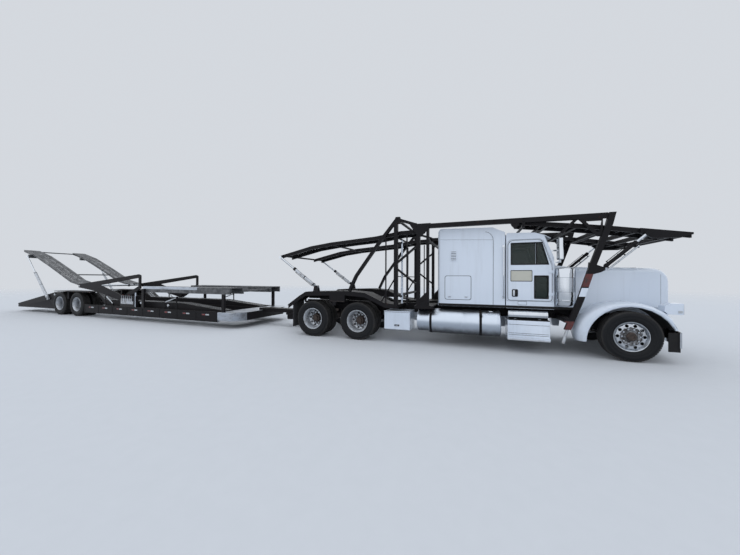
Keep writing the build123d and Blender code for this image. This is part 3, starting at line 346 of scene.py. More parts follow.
# Each finish: its slot in the record and what makes it
FINISHES = {
    "white": ("white_paint", white_paint),
    "black": ("black_steel", black_steel),
    # Faded red steel at the feet of the front posts
    "red": ("black_steel", lambda: soiled(
        "post_red", (0.085, 0.014, 0.014), ((0.025, 0.014, 0.014),), patches=(22, 6, 0.7), edges=(0.5, 0.62),
        rough=(18, 3, 0.3, 0.45), grain=(80, 4), bump=(0.2, 0.001))),
    "tyre": ("tyre_rubber", tyre_rubber),
    "aluminium": ("polished_aluminium", polished_aluminium),
    # Silver-white wheel paint with brown dust near the hub
    "silver": ("polished_aluminium", lambda: soiled(
        "wheel_silver", (0.44, 0.47, 0.51), ((0.12, 0.095, 0.08),), patches=(9, 6, 0.65), edges=(0.42, 0.78),
        share=0.7, rough=(0.35, 0.33), grain=(70, 4), bump=(0.15, 0.0008), Metallic=0.35)),
    # Oily hub castings
    "hub": ("black_steel", lambda: soiled(
        "hub_brown", "hub", ("hub", 0.75), patches=(24, 5, 0.6), edges=(0.4, 0.7), rough=(-0.25, 0.7), grain=(60, 5),
        bump=(0.35, 0.002), Metallic=0.2)),
    # The middle of the wheels: dark with grease and brake dust in patches, and painted shade of the recess round the
    # hub in its dark grey
    "dirty": ("black_steel", lambda: soiled(
        "dirty_shaded_metal", (0.24, 0.25, 0.27), ((0.035, 0.03, 0.028),), patches=(20, 6, 0.65), edges=(0.35, 0.62),
        rough=(0.3, 0.4), grain=(60, 5), bump=(0.3, 0.001), Metallic=0.4)),
    "chrome": ("bright_chrome", chrome),
    "tank": ("polished_aluminium", tank_metal),
    "track": ("black_steel", track_metal),
    # Bright deck plate, scuffed where tyres run
    "deck": ("polished_aluminium", lambda: soiled(
        "deck_aluminium", (0.40, 0.44, 0.50), ((0.2, 0.21, 0.23),), patches=(4, 7, 0.7, (0.3, 1, 1)),
        edges=(0.4, 0.7), rough=(0.25, 0.28), grain=(90, 4), bump=(0.2, 0.001), Metallic=0.8)),
    "glass": ("window_glass", window_glass),
    "fabric": ("cab_trim", seat_fabric),
    "rubber": ("cab_trim", lambda: plastic("black_rubber", (0.009, 0.009, 0.01), 0.7)),
    "trim": ("cab_trim", lambda: plastic("cab_trim", (0.04, 0.038, 0.036))),
    "flap": ("cab_trim", lambda: plastic("grey_flap", (0.05, 0.05, 0.054), 0.75)),
    "engine": ("engine_paint", lambda: plastic("engine_paint", (0.05, 0.052, 0.055))),
    "amber": ("cab_trim", lambda: lens("amber_lens", (0.42, 0.13, 0.02))),
    "red_lens": ("cab_trim", lambda: lens("red_lens", (0.16, 0.012, 0.012))),
    "clear": ("window_glass", lambda: lens("clear_lens", (0.42, 0.45, 0.48))),
    "cream": ("cab_trim", lambda: plastic("cream_plate", (0.46, 0.46, 0.41), 0.5)),
}
made_finishes = {}


def finish(name):
    """The material of a finish, made once."""
    if name not in made_finishes:
        made_finishes[name] = FINISHES[name][1]()
    return made_finishes[name]


# Meshes in the making
def turns(count):
    """Angles evenly round a circle."""
    return [2 * math.pi * k / count for k in range(count)]


def about(centre, half):
    """A range about a centre."""
    return centre - half, centre + half


def spaced(start, pitch, count):
    """Places in a row."""
    return [start + k * pitch for k in range(count)]


def link(name, data):
    """A new object in the scene."""
    made = bpy.data.objects.new(name, data)
    bpy.context.scene.collection.objects.link(made)
    return made


class Form:
    """A mesh built up in the frame's metres, with x from the steer axle and y outwards on its side of the truck.
    """

    def __init__(self, *finish_names, side=1):
        self.mesh = bmesh.new()
        self.finish_names = finish_names
        self.index = 0
        self.side = side

    def sides(self):
        """Turns to each side of the truck, for what one form has on both."""
        for self.side in (1, -1):
            yield self.side
        self.side = 1

    def use(self, finish_name):
        """Faces made from here on have this finish."""
        self.index = self.finish_names.index(finish_name)
        return self

    def at(self, place):
        """Where a place is in the frame, on the form's side."""
        return Vector((AXLE + place[0], self.side * place[1], place[2]))

    def face(self, corners):
        self.mesh.faces.new(corners).material_index = self.index

    def loop(self, places):
        return [self.mesh.verts.new(self.at(place)) for place in places]

    def skin(self, rings, closed=True, caps=True):
        """Faces between rings of points of one length."""
        count = len(rings[0])
        for before, after in zip(rings, rings[1:]):
            for i in range(count if closed else count - 1):
                j = (i + 1) % count
                self.face((before[i], before[j], after[j], after[i]))
        if caps and closed:
            self.face(rings[0][::-1])
            self.face(rings[-1])

    def prism(self, outline, y_from, y_to):
        """A side view outline given thickness across the truck."""
        self.skin([self.loop([(x, y, z) for x, z in outline]) for y in (y_from, y_to)])

    def box(self, x, y, z):
        """A box by its ranges, each from low to high."""
        self.prism([(x[0], z[0]), (x[1], z[0]), (x[1], z[1]), (x[0], z[1])], *y[::self.side])

    def boxes(self, finish_name, *boxes):
        """Boxes of one finish, each as its ranges along x, y and z."""
        self.use(finish_name)
        for ranges in boxes:
            self.box(*ranges)

    def plates(self, *plates):
        """Upright plates with rounded corners, each as finish, ranges along x and z, corner radius, range along y."""
        for finish_name, x, z, radius, y in plates:
            outline = []
            for corner_x, corner_z, start in ((x[1], z[1], 0), (x[0], z[1], 1), (x[0], z[0], 2), (x[1], z[0], 3)):
                centre_x = corner_x - math.copysign(radius, corner_x - sum(x) / 2)
                centre_z = corner_z - math.copysign(radius, corner_z - sum(z) / 2)
                for k in range(6):
                    t = math.pi / 2 * (start + k / 5)
                    outline.append((centre_x + radius * math.cos(t), centre_z + radius * math.sin(t)))
            self.use(finish_name).prism(outline, *y)

    def seal(self, outline, width, outer_radius, inner_radius, y):
        """A flat frame just inside an outline in side view, with rounded corners."""
        centre = Vector((sum(x for x, z in outline), sum(z for x, z in outline))) / len(outline)
        inside = [(x + math.copysign(width, centre.x - x), z + math.copysign(width, centre.y - z)) for x, z in outline]
        outer, inner = rounded(outline, outer_radius), rounded(inside, inner_radius)
        y_from, y_to = y[::self.side]
        self.skin([self.loop([(x, at_y, z) for x, z in edge]) for edge, at_y in (
            (outer, y_from), (outer, y_to), (inner, y_to), (inner, y_from), (outer, y_from))], caps=False)

    def tube(self, places, radius, steps=12):
        """A round tube through places, with its section kept square to the path."""
        path = [self.at(place) for place in places]
        rings = []
        across = None
        for i, spot in enumerate(path):
            ahead = (path[min(i + 1, len(path) - 1)] - path[max(i - 1, 0)]).normalized()
            if across is None:
                across = ahead.orthogonal().normalized()
            across = (across - ahead * across.dot(ahead)).normalized()
            other = ahead.cross(across)
            rings.append([self.mesh.verts.new(spot + radius * (across * math.cos(t) + other * math.sin(t)))
                          for t in turns(steps)])
        self.skin(rings)

    def rods(self, finish_name, *rods):
        """Straight tubes of one finish, each as start, end, radius and, where it isn't 16, its number of sides."""
        self.use(finish_name)
        for start, end, radius, *steps in rods:
            self.tube((start, end), radius, *(steps or (16,)))

    def turned(self, profile, centre, axis, steps=32):
        """A profile of (along axis, radius) turned about an axis through a centre."""
        centre = self.at(centre)
        axis = Vector((axis[0], self.side * axis[1], axis[2])).normalized()
        across = axis.orthogonal().normalized()
        other = axis.cross(across)
        rings = []
        for t in turns(steps):
            out = across * math.cos(t) + other * math.sin(t)
            rings.append([self.mesh.verts.new(centre + axis * along + out * radius) for along, radius in profile])
        for before, after in zip(rings, rings[1:] + rings[:1]):
            for i in range(len(profile) - 1):
                self.face((before[i], before[i + 1], after[i + 1], after[i]))

    def band(self, span, edge, crown, centre, axis, steps=32, bevel=0.0):
        """A raised band round an axis: its range along the axis, radius at its edges and crown."""
        start, end = span
        self.turned([(start, edge), (start + bevel, crown), (end - bevel, crown), (end, edge)], centre, axis, steps)

    def ribbon(self, top, depth, y_from, y_to):
        """A bent plate: its top edge in side view, lowered by its depth."""
        self.prism(list(top) + [(x, z - depth) for x, z in reversed(top)], y_from, y_to)

    def stamp(self, data, place, turn=Matrix()):
        """Adds a plain mesh, turned and moved to a place."""
        start, first = len(self.mesh.verts), len(self.mesh.faces)
        self.mesh.from_mesh(data)
        self.mesh.verts.ensure_lookup_table()
        self.mesh.faces.ensure_lookup_table()
        move = Matrix.Translation(self.at(place)) @ turn
        for vert in self.mesh.verts[start:]:
            vert.co = move @ vert.co
        for made in self.mesh.faces[first:]:
            made.material_index = self.index

    def holed_ring(self, centre, inner, outer, radius, hole, count):
        """A dished disc about the y axis with a ring of round holes. Inner and outer edge are (out along y, radius)."""
        thickness, steps = 0.014, 16
        sector = 2 * math.pi / count

        def spot(turn, distance, deep=0.0):
            share = (distance - inner[1]) / (outer[1] - inner[1])
            return (centre[0] + distance * math.cos(turn), centre[1] + inner[0] + (outer[0] - inner[0]) * share - deep,
                    centre[2] + distance * math.sin(turn))

        for k in range(count):
            border, edge, behind = [], [], []
            for t in turns(steps):
                reach = 1 / max(abs(math.cos(t)), abs(math.sin(t)))
                middle = (inner[1] + outer[1]) / 2 + reach * math.cos(t) * (outer[1] - inner[1]) / 2
                border.append(spot(sector * (k + reach * math.sin(t) / 2), middle))
                distance = radius + hole * math.cos(t)
                turn = sector * k + hole * math.sin(t) / distance
                edge.append(spot(turn, distance))
                behind.append(spot(turn, distance, thickness))
            self.skin([self.loop(ring) for ring in (border, edge, behind)], caps=False)

    def done(self, name, body, replaces=(), bevel=0.0, segments=2, smooth=40, paint=None):
        """Turns the form into a piece that rides on a body. Paint gives each point its tread value."""
        bmesh.ops.remove_doubles(self.mesh, verts=self.mesh.verts, dist=1e-5)
        data = self.plain_mesh(name)
        if paint:
            values = data.attributes.new("tread", "FLOAT", "POINT")
            values.data.foreach_set("value", [paint(vert.co) for vert in data.vertices])
        add_piece(name, data, body, self.finish_names, replaces, bevel, segments, smooth)

    def plain_mesh(self, name):
        """The form as a mesh, its faces outwards."""
        bmesh.ops.recalc_face_normals(self.mesh, faces=self.mesh.faces)
        data = bpy.data.meshes.new(name)
        self.mesh.to_mesh(data)
        self.mesh.free()
        return data


# Edges that turn by more than this are rounded
BEVEL_FROM = math.radians(35)


def add_piece(name, data, body, finish_names, replaces=(), bevel=0.0, segments=2, smooth=40):
    """Links a mesh as a piece with its finishes, body, bevel and shading."""
    piece = link(name, data)
    for finish_name in finish_names:
        data.materials.append(finish(finish_name))
    if smooth:
        data.shade_smooth()
        data.set_sharp_from_angle(angle=math.radians(smooth))
    if bevel:
        rounding = piece.modifiers.new("rounding", "BEVEL")
        rounding.width = bevel
        rounding.segments = segments
        rounding.limit_method = "ANGLE"
        rounding.angle_limit = BEVEL_FROM
        rounding.harden_normals = True
    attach(piece, body)
    if replaces:
        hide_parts(*replaces)


def softened(node, finish_names, bevel=0.006, segments=2, cuts=(), choose=None):
    """A copy of a node with its faces joined up and its edges rounded, in place of the node.

    Cuts are (axis, place) planes where the finish may change. Choose gives a face's finish by its centre and normal,
    or None where the face is left out.
    """
    work = bmesh.new()
    work.from_mesh(nodes[node].data)
    bmesh.ops.remove_doubles(work, verts=work.verts, dist=1e-5)
    bmesh.ops.dissolve_limit(work, angle_limit=math.radians(1.0), verts=work.verts, edges=work.edges)
    for axis, place in cuts:
        normal = Vector((0, 0, 0))
        normal[axis] = 1
        bmesh.ops.bisect_plane(work, geom=work.verts[:] + work.edges[:] + work.faces[:], dist=1e-5,
                               plane_co=normal * (place + (AXLE if axis == 0 else 0)), plane_no=normal)
    left_out = []
    for made in work.faces:
        chosen = choose(made.calc_center_median() - Vector((AXLE, 0, 0)), made.normal) if choose else finish_names[0]
        if chosen is None:
            left_out.append(made)
        else:
            made.material_index = finish_names.index(chosen)
    bmesh.ops.delete(work, geom=left_out, context="FACES")
    data = bpy.data.meshes.new(node)
    work.to_mesh(data)
    work.free()
    add_piece(f"{node}_body", data, body_of_node[node], finish_names, (node,), bevel, segments)


# Repeats, made by node trees that are turned into plain meshes
made_trees = {}


def repeat_tree(lay_out, numbers):
    """A geometry tree that lays out copies of an item, and the identifiers of its named inputs."""
    tree = bpy.data.node_groups.new(lay_out.__name__, "GeometryNodeTree")
    tree.interface.new_socket("Geometry", in_out="OUTPUT", socket_type="NodeSocketGeometry")
    kinds = {"Item": "Object", "Finish": "Material"}
    kinds.update((label, "Int" if isinstance(value, int) else "Float") for label, value in numbers.items())
    codes = {label: tree.interface.new_socket(label, in_out="INPUT", socket_type=f"NodeSocket{kind}").identifier
             for label, kind in kinds.items()}
    start = Wire(tree)
    outputs = tree.nodes.new("NodeGroupInput").outputs
    given = {label: Wire(tree, outputs[label]) for label in kinds}
    item = start.node("GeometryNodeObjectInfo", out=4, Object=given["Item"])
    real = start.node("GeometryNodeRealizeInstances", i0=lay_out(start, given, item))
    painted = start.node("GeometryNodeSetMaterial", i0=real, Material=given["Finish"])
    tree.links.new(painted.socket, tree.nodes.new("NodeGroupOutput").inputs[0])
    return tree, codes


def repeat(lay_out, form, finish_name, **numbers):
    """The plain mesh of a form that a tree repeats. The form is made about the steer axle's x."""
    if lay_out not in made_trees:
        made_trees[lay_out] = repeat_tree(lay_out, numbers)
    tree, codes = made_trees[lay_out]
    bmesh.ops.translate(form.mesh, verts=form.mesh.verts, vec=(-AXLE, 0, 0))
    item = link("item", form.plain_mesh("item"))
    holder = link("holder", bpy.data.meshes.new("holder"))
    maker = holder.modifiers.new("maker", "NODES")
    maker.node_group = tree
    for label, value in {"Item": item, "Finish": finish(finish_name), **numbers}.items():
        maker[codes[label]] = value
    bpy.context.view_layer.update()
    data = bpy.data.meshes.new_from_object(holder.evaluated_get(bpy.context.evaluated_depsgraph_get()))
    for done_with in (holder, item):
        bpy.data.objects.remove(done_with)
    return data


def ring_of_items(start, given, item):
    """Copies round the y axis: an item's own -y points outwards and its z along the axis."""
    circle = start.node("GeometryNodeMeshCircle", Vertices=given["Count"], Radius=given["Radius"])
    turn = start.node("GeometryNodeInputIndex") * (2 * math.pi) / given["Count"]
    facing = start.node("ShaderNodeCombineXYZ", Z=turn + math.pi / 2)
    copies = start.node("GeometryNodeInstanceOnPoints", Points=circle, Instance=item, Rotation=facing)
    return start.node("GeometryNodeTransform", Geometry=copies, Rotation=(math.pi / 2, 0, 0))


def grid_of_tiles(start, given, item):
    """Copies of an item, one metre square, fitted side by side into a rectangle about the origin."""
    row_pitch, column_pitch = given["Length"] / given["Rows"], given["Width"] / given["Columns"]
    grid = start.node("GeometryNodeMeshGrid", Size_X=given["Length"] - row_pitch, Size_Y=given["Width"] - column_pitch,
                      Vertices_X=given["Rows"], Vertices_Y=given["Columns"])
    fitted = start.node("ShaderNodeCombineXYZ", X=row_pitch, Y=column_pitch, Z=1.0)
    return start.node("GeometryNodeInstanceOnPoints", Points=grid, Instance=item, Scale=fitted)


def rounded(outline, radius, steps=5):
    """A side view outline with its corners rounded."""
    points = [Vector(corner) for corner in outline]
    made = []
    for before, corner, after in zip(points[-1:] + points[:-1], points, points[1:] + points[:1]):
        start = corner + (before - corner).normalized() * radius
        end = corner + (after - corner).normalized() * radius
        for k in range(steps + 1):
            share = k / steps
            made.append(tuple(start.lerp(corner, share).lerp(corner.lerp(end, share), share)))
    return made


def height(path, x):
    """The height of a bent path in side view at x."""
    ends = sorted(path)
    for (x_from, z_from), (x_to, z_to) in zip(ends, ends[1:]):
        if x <= x_to:
            break
    return z_from + (z_to - z_from) * (x - x_from) / (x_to - x_from)


# Thickness of a perforated plate
PLATE = 0.008


def sunk(path):
    """A bent path a little lower, so that plates don't lie in the faces that they replace."""
    return [(x, z - 0.001) for x, z in path]


def perforated(form, path, y, finish_name="track"):
    """A plate with rows of holes along a bent path in side view, its upper face on the path."""
    pitch = sizes().hole_pitch
    hole = sizes().hole_radius / pitch
    for (x_from, z_from), (x_to, z_to) in zip(path, path[1:]):
        tile = Form(finish_name)
        rings = []
        for radius, z in ((None, 0), (hole, 0), (hole, -PLATE), (None, -PLATE)):
            ring = []
            for turn in turns(8):
                reach = radius or 0.5 / max(abs(math.cos(turn)), abs(math.sin(turn)))
                ring.append((reach * math.cos(turn), reach * math.sin(turn), z))
            rings.append(tile.loop(ring))
        tile.skin(rings, caps=False)
        length, width = math.hypot(x_to - x_from, z_to - z_from), y[1] - y[0]
        sheet = repeat(grid_of_tiles, tile, finish_name, Length=length, Width=width,
                       Rows=max(2, round(length / pitch)), Columns=max(2, round(width / pitch)))
        form.stamp(sheet, ((x_from + x_to) / 2, sum(y) / 2, (z_from + z_to) / 2),
                   Matrix.Rotation(-math.atan((z_to - z_from) / (x_to - x_from)), 4, "Y"))


class StepOperator(bpy.types.Operator):
    """Shared parts of the operators."""

    bl_options = {"REGISTER", "UNDO"}


# Wheels. Profiles are (out from the wheel's middle, radius), the wall's as a share of the tyre's half width
WHEEL_STATIONS = ("steer", "drive_front", "drive_rear", "trailer_front", "trailer_rear")
TYRE_WALL = ((0.80, 0.2855), (0.93, 0.305), (1, 0.35), (0.985, 0.352), (0.987, 0.393), (1, 0.396), (1, 0.404),
             (0.978, 0.407), (0.955, 0.43), (0.905, TYRE_RADIUS - 0.02))
TREAD_EDGE, RIBS = 0.86, 5
BLOCK_HALF, BLOCK_HALF_WIDTH = 0.019, 0.024
TREAD_FROM, TREAD_BLEND = 0.44, 0.02
NUT_SIZE, NUT_CIRCLE = 0.016, 0.143
TWIN_HALF_WIDTH = 0.125
RIM_LIP = ((0.115, 0.284), (0.121, 0.28), (0.119, 0.27), (0.098, 0.262), (0.085, 0.25), (0.0, 0.238))
DRUM = ((0.012, 0.0005), (0.012, 0.20), (0.0, 0.212), (-0.09, 0.212), (-0.10, 0.20), (-0.10, 0.0005))
# Holes are the ring's inner and outer edge, then where the holes are and their radius
STEER_DISC = {
    "holes": ((0.092, 0.172), (0.088, 0.244), 0.209, 0.031), "nuts": 0.088, "drum": 0.0,
    "turned": (("aluminium", 80, ((0.05, 0.256), (0.082, 0.246), (0.088, 0.244))),
               # The dirty rings hold painted shade of the recess round the hub as well as grease and brake dust
               ("dirty", 80, ((0.092, 0.172), (0.079, 0.167), (0.074, 0.112), (0.05, 0.108))),
               ("dirty", 40, ((0.04, 0.104), (0.08, 0.102), (0.086, 0.088), (0.11, 0.084))),
               ("hub", 40, ((0.11, 0.084), (0.122, 0.08), (0.13, 0.07), (0.131, 0.046), (0.124, 0.042),
                            (0.124, 0.0005)))),
}
TWIN_DISC = {
    "holes": ((0.012, 0.172), (0.045, 0.238), 0.206, 0.03), "nuts": 0.026, "drum": -0.045,
    "turned": (("silver", 80, ((0.085, 0.25), (0.048, 0.240), (0.045, 0.238))),
               # The dirty ring holds painted shade of the recessed middle as well as grease and brake dust
               ("dirty", 80, ((0.012, 0.172), (0.010, 0.10))),
               ("hub", 40, ((-0.04, 0.118), (0.03, 0.118), (0.04, 0.11), (0.10, 0.098), (0.104, 0.07), (0.14, 0.062),
                            (0.142, 0.0005)))),
}


def tyre(form, blocks, centre, half):
    """A tyre with ribs between two rows of blocks, and rings moulded in its walls."""
    depth, edge = sizes().tread_depth, half * TREAD_EDGE
    shoulder = edge - 0.05
    pitch = 2 * shoulder / RIBS
    walls = [(half * share, radius) for share, radius in TYRE_WALL]
    tread = [(-edge, -depth)]
    for k in range(RIBS):
        tread += [(k * pitch - shoulder + along, rise)
                  for along, rise in ((0.005, -depth), (0.006, 0), (pitch - 0.006, 0), (pitch - 0.005, -depth))]
    tread.append((edge, -depth))
    form.turned([(-t, r) for t, r in walls] + [(t, TYRE_RADIUS + rise) for t, rise in tread] + walls[::-1],
                centre, ACROSS, 56)
    x, y, z = centre
    for shift in (-1, 1):
        form.stamp(blocks, (x, y + shift * (edge - BLOCK_HALF_WIDTH), z))


def barrel(form, centre):
    """The rim's barrel with its lips and drop centre."""
    front = [*RIM_LIP, *((-t, r) for t, r in reversed(RIM_LIP))]
    back = [(t, r + 0.009) for t, r in reversed(front[2:-2])]
    form.use(form.finish_names[0]).turned(front + back + front[:1], centre, ACROSS, 56)


def disc(form, nuts, centre, shape):
    """A wheel's disc with its hand holes, nuts and hub, and the brake drum behind it."""
    x, y, z = centre
    form.use(form.finish_names[0]).holed_ring(centre, *shape["holes"], sizes().hand_holes)
    for finish_name, steps, profile in shape["turned"]:
        form.use(finish_name).turned(profile, centre, ACROSS, steps)
    form.use("chrome").stamp(nuts, (x, y + shape["nuts"], z))
    form.use("black").turned(DRUM, (x, y + shape["drum"], z), ACROSS, 40)


def tread_value(x):
    """Gives 1 on the tread and 0 on the side walls of a tyre at x."""
    def value(place):
        reach = math.hypot(place.x - AXLE - x, place.z - WHEEL_Z)
        return min(1.0, max(0.0, (reach - TREAD_FROM) / TREAD_BLEND))
    return value


class TRANSPORTER_OT_wheels(StepOperator):
    """Tyres with treads, and wheels with hand holes, nuts and hubs"""

    bl_idname = "transporter.wheels"
    bl_label = "Wheels"

    def execute(self, context):
        block = Form("tyre")
        block.box(about(0, BLOCK_HALF), (0, sizes().tread_depth + 0.004), about(0, BLOCK_HALF_WIDTH))
        blocks = repeat(ring_of_items, block, "tyre", Count=sizes().tread_blocks, Radius=TYRE_RADIUS)
        nut = Form("chrome")
        nut.skin([nut.loop([(NUT_SIZE * math.cos(t), NUT_SIZE * math.sin(t), z) for t in turns(6)])
                  for z in about(0, NUT_SIZE)])
        nuts = repeat(ring_of_items, nut, "chrome", Count=sizes().wheel_nuts, Radius=NUT_CIRCLE)
        for station in WHEEL_STATIONS:
            twin = station != "steer"
            for side, name in SIDES:
                low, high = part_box(f"tyre_{station}_{name}")
                x = (low.x + high.x) / 2 - AXLE
                inner, outer = sorted((abs(low.y), abs(high.y)))
                half = TWIN_HALF_WIDTH if twin else (outer - inner) / 2
                rubber = Form("tyre", side=side)
                metal = Form("silver" if twin else "aluminium", "hub", "chrome", "black", "dirty", side=side)
                for y in (outer - half, inner + half)[:2 if twin else 1]:
                    tyre(rubber, blocks, (x, y, WHEEL_Z), half)
                    barrel(metal, (x, y, WHEEL_Z))
                disc(metal, nuts, (x, (inner + outer) / 2, WHEEL_Z), TWIN_DISC if twin else STEER_DISC)
                body = f"{station}_wheel_{name}"
                rubber.done(f"tyre_{station}_{name}_tread", body, [f"tyre_{station}_{name}"], smooth=35,
                            paint=tread_value(x))
                metal.done(f"wheel_{station}_{name}", body, [f"rim_{station}_{name}"], smooth=35)
        return {"FINISHED"}


# Hood. Sections of the bonnet: x, top, half width, radius of the shoulder
BONNET = ((-0.79, 1.829, 0.788, 0.10), (-0.757, 1.828, 0.786, 0.10), (-0.3, 1.822, 0.738, 0.10),
          (0.1, 1.815, 0.70, 0.10), (0.3, 1.81, 0.664, 0.10), (0.55, 1.802, 0.612, 0.10), (0.64, 1.79, 0.592, 0.10),
          (0.72, 1.765, 0.574, 0.10), (0.775, 1.725, 0.56, 0.10), (0.815, 1.67, 0.548, 0.09),
          (0.832, 1.60, 0.538, 0.08), (0.838, 1.585, 0.53, 0.08), (0.838, 1.563, 0.434, 0.02),
          (0.80, 1.563, 0.434, 0.02))
# The fender's crest in side view, swept about a height
ARCH = ((0.70, 0.66), (0.69, 0.70), (0.62, 0.86), (0.50, 0.975), (0.34, 1.06), (0.17, 1.115), (0.0, 1.137),
        (-0.17, 1.13), (-0.34, 1.10), (-0.50, 1.045), (-0.64, 0.965), (-0.76, 0.86), (-0.845, 0.74), (-0.895, 0.60),
        (-0.90, 0.46), (-0.865, 0.335))
ARCH_Z = 0.33
MESH_SIZE, MESH_CELLS = 0.78, 36


def bonnet():
    """The middle of the hood, as sections across it from the cowl to the grille shell."""
    form = Form("white", "rubber", "chrome")
    rings = []
    for x, top, half, radius in BONNET:
        foot = 0.87 if -0.6 < x < 0.5 else 0.70
        section = [(half, z) for z in (foot, 1.0, 1.3, top - radius)]
        for k in range(1, 7):
            t = math.pi / 2 * k / 6
            section.append((half - radius + radius * math.cos(t), top - radius + radius * math.sin(t)))
        section += [((half - radius) * share, top + 0.004 * (1 - share)) for share in (0.75, 0.5, 0.25, 0.0)]
        rings.append(form.loop([(x, y, z) for y, z in section + [(-y, z) for y, z in reversed(section[:-1])]]))
    form.skin(rings, closed=False)
    form.box((0.79, 0.838), (-0.434, 0.434), (0.70, 0.722))
    form.boxes("rubber", ((-0.754, -0.742), (-0.78, 0.78), (1.0, 1.77)),
               ((-0.60, 0.55), (-0.002, 0.002), (1.8295, 1.8315)))
    for _ in form.sides():
        # Joint line between the hood and the grille shell, and the latch at the cowl
        form.use("rubber").tube([(0.70, 0.5785, 1.0), (0.70, 0.5785, 1.66), (0.703, 0.566, 1.71), (0.706, 0.53, 1.752),
                                 (0.708, 0.48, 1.77)], 0.0022, 6)
        form.boxes("chrome", ((-0.735, -0.665), (0.782, 0.796), (1.30, 1.325)))
    form.done("hood_bonnet", "hood", ["hood"], bevel=0.003, smooth=50)


def fender(side, name):
    """A crowned arch swept round the wheel, with its flat skirt behind."""
    form = Form("white", "rubber", side=side)
    rings = []
    for x, z in ARCH:
        out = Vector((x, z - ARCH_Z))
        distance = out.length
        aim = out / distance
        mouth = min(0.712, distance - 0.03)
        inner = 0.855 if x < -0.755 else 0.56
        crown = ((inner, distance - 0.006), (1.02, distance), (1.10, distance - 0.008), (1.15, distance - 0.032),
                 (1.175, distance - 0.07), (1.183, (distance + mouth) / 2 - 0.01), (1.183, mouth + 0.03),
                 (1.178, mouth + 0.008), (1.168, mouth), (1.13, mouth), (1.10, mouth + 0.006), (inner, mouth + 0.006))
        rings.append(form.loop([(aim.x * reach, y, ARCH_Z + aim.y * reach) for y, reach in crown]))
    form.skin(rings)
    # The wheel's side of the arch is dark, and a splash panel closes it off from the engine
    for made in form.mesh.faces:
        where = made.calc_center_median() - Vector((AXLE, 0, ARCH_Z))
        if math.hypot(where.x, where.z) < 0.73 and abs(where.y) < 1.145:
            made.material_index = 1
    form.use("rubber").prism([(-0.70, 0.50), (-0.66, 0.72), (-0.48, 0.93), (-0.25, 1.04), (0.0, 1.075), (0.25, 1.03),
                              (0.46, 0.90), (0.62, 0.70), (0.62, 0.62)], 0.572, 0.58)
    form.done(f"fender_{name}", "hood", smooth=60)


def headlamp(side, name):
    """A headlamp pod with clear lenses, bright ring, side marker and stay."""
    form = Form("white", "chrome", "clear", side=side)
    form.prism([(0.505, 0.975), (0.56, 0.925), (0.755, 0.918), (0.775, 0.93), (0.78, 1.115), (0.765, 1.128),
                (0.60, 1.125), (0.52, 1.08)], 0.89, 1.112)
    form.boxes("chrome", ((0.776, 0.7865), (0.897, 1.106), (0.925, 1.122)))
    form.boxes("clear", *(((0.784, 0.7895), (y, y + 0.093), (0.935, 1.112)) for y in (0.905, 1.003)),
               ((0.70, 0.76), (1.11, 1.1185), (0.95, 0.995)))
    form.rods("chrome", ((0.60, 0.60, 0.99), (0.60, 0.90, 1.0), 0.022))
    form.done(f"headlamp_{name}", "hood", ["headlamps"] if side > 0 else (), bevel=0.012, segments=3)


def grille_mesh():
    """Dark mesh behind the bright bars."""
    tile = Form("rubber")
    for end in ((0.5, -0.5, 0), (-0.5, 0.5, 0)):
        tile.tube([(-0.5, -0.5, 0), end], 0.09, 4)
    sheet = repeat(grid_of_tiles, tile, "rubber", Length=MESH_SIZE, Width=MESH_SIZE, Rows=MESH_CELLS,
                   Columns=MESH_CELLS)
    form = Form("rubber")
    form.stamp(sheet, (0.802, 0, 1.14), Matrix.Rotation(math.pi / 2, 4, "Y") @ Matrix.Diagonal((1, 1, 0.004, 1)))
    form.done("grille_mesh", "hood", smooth=0)


class TRANSPORTER_OT_hood(StepOperator):
    """Smooth hood with crowned fenders, lamps and mesh"""

    bl_idname = "transporter.hood"
    bl_label = "Hood"

    def execute(self, context):
        bonnet()
        for side, name in SIDES:
            fender(side, name)
            headlamp(side, name)
        grille_mesh()
        return {"FINISHED"}


# Cab and sleeper
CAB_SKIN = 1.05


def handle_dark(where, normal):
    """A dark handle on the white door."""
    return "rubber" if abs(where.y) > 1.051 and where.x < -1.7 else "white"


def inside_dark(where, normal):
    """Inner faces are dark lining, outer ones paint."""
    inside = abs(where.y) < 1.008 and where.z < 2.53 and -3.585 < where.x < -0.84
    return "rubber" if inside and (abs(normal.y) > 0.9 and where.y * normal.y < 0 or abs(normal.z) > 0.9) else "white"


def door(side, name):
    """Seals, sign plate and recessed handle of one door."""
    form = Form("rubber", "chrome", "white", "cream", side=side)
    glazed = (CAB_SKIN - 0.003, CAB_SKIN + 0.0035)
    form.seal([(-2.06, 1.87), (-1.328, 1.87), (-1.458, 2.355), (-2.06, 2.355)], 0.022, 0.012, 0.05, glazed)
    form.seal([(-1.61, 1.145), (-1.335, 1.145), (-1.335, 1.645), (-1.61, 1.645)], 0.022, 0.02, 0.07, glazed)
    form.box((-1.579, -1.555), glazed, (1.88, 2.345))
    # Shadow line round the door
    form.seal([(-2.118, 1.10), (-1.272, 1.10), (-1.272, 1.83), (-1.445, 2.37), (-1.50, 2.412), (-2.055, 2.412),
               (-2.118, 2.345)], 0.009, 0.06, 0.055, (1.048, 1.0515))
    # Plain sign plate with its dark edge, and the handle: a dark recess with an upright lever
    form.plates(("rubber", (-2.062, -1.64), (1.513, 1.757), 0.02, (1.048, 1.052)),
                ("cream", (-2.05, -1.652), (1.528, 1.742), 0.012, (1.048, 1.0535)),
                ("rubber", (-2.035, -1.915), (1.18, 1.345), 0.025, (1.047, 1.0525)),
                ("chrome", (-2.016, -1.978), (1.20, 1.325), 0.012, (1.05, 1.074)))
    form.boxes("white", ((-2.00, -1.34), (1.046, 1.0505), (1.79, 1.80)))
    form.done(f"door_trim_{name}", f"door_{name}", bevel=0.002)


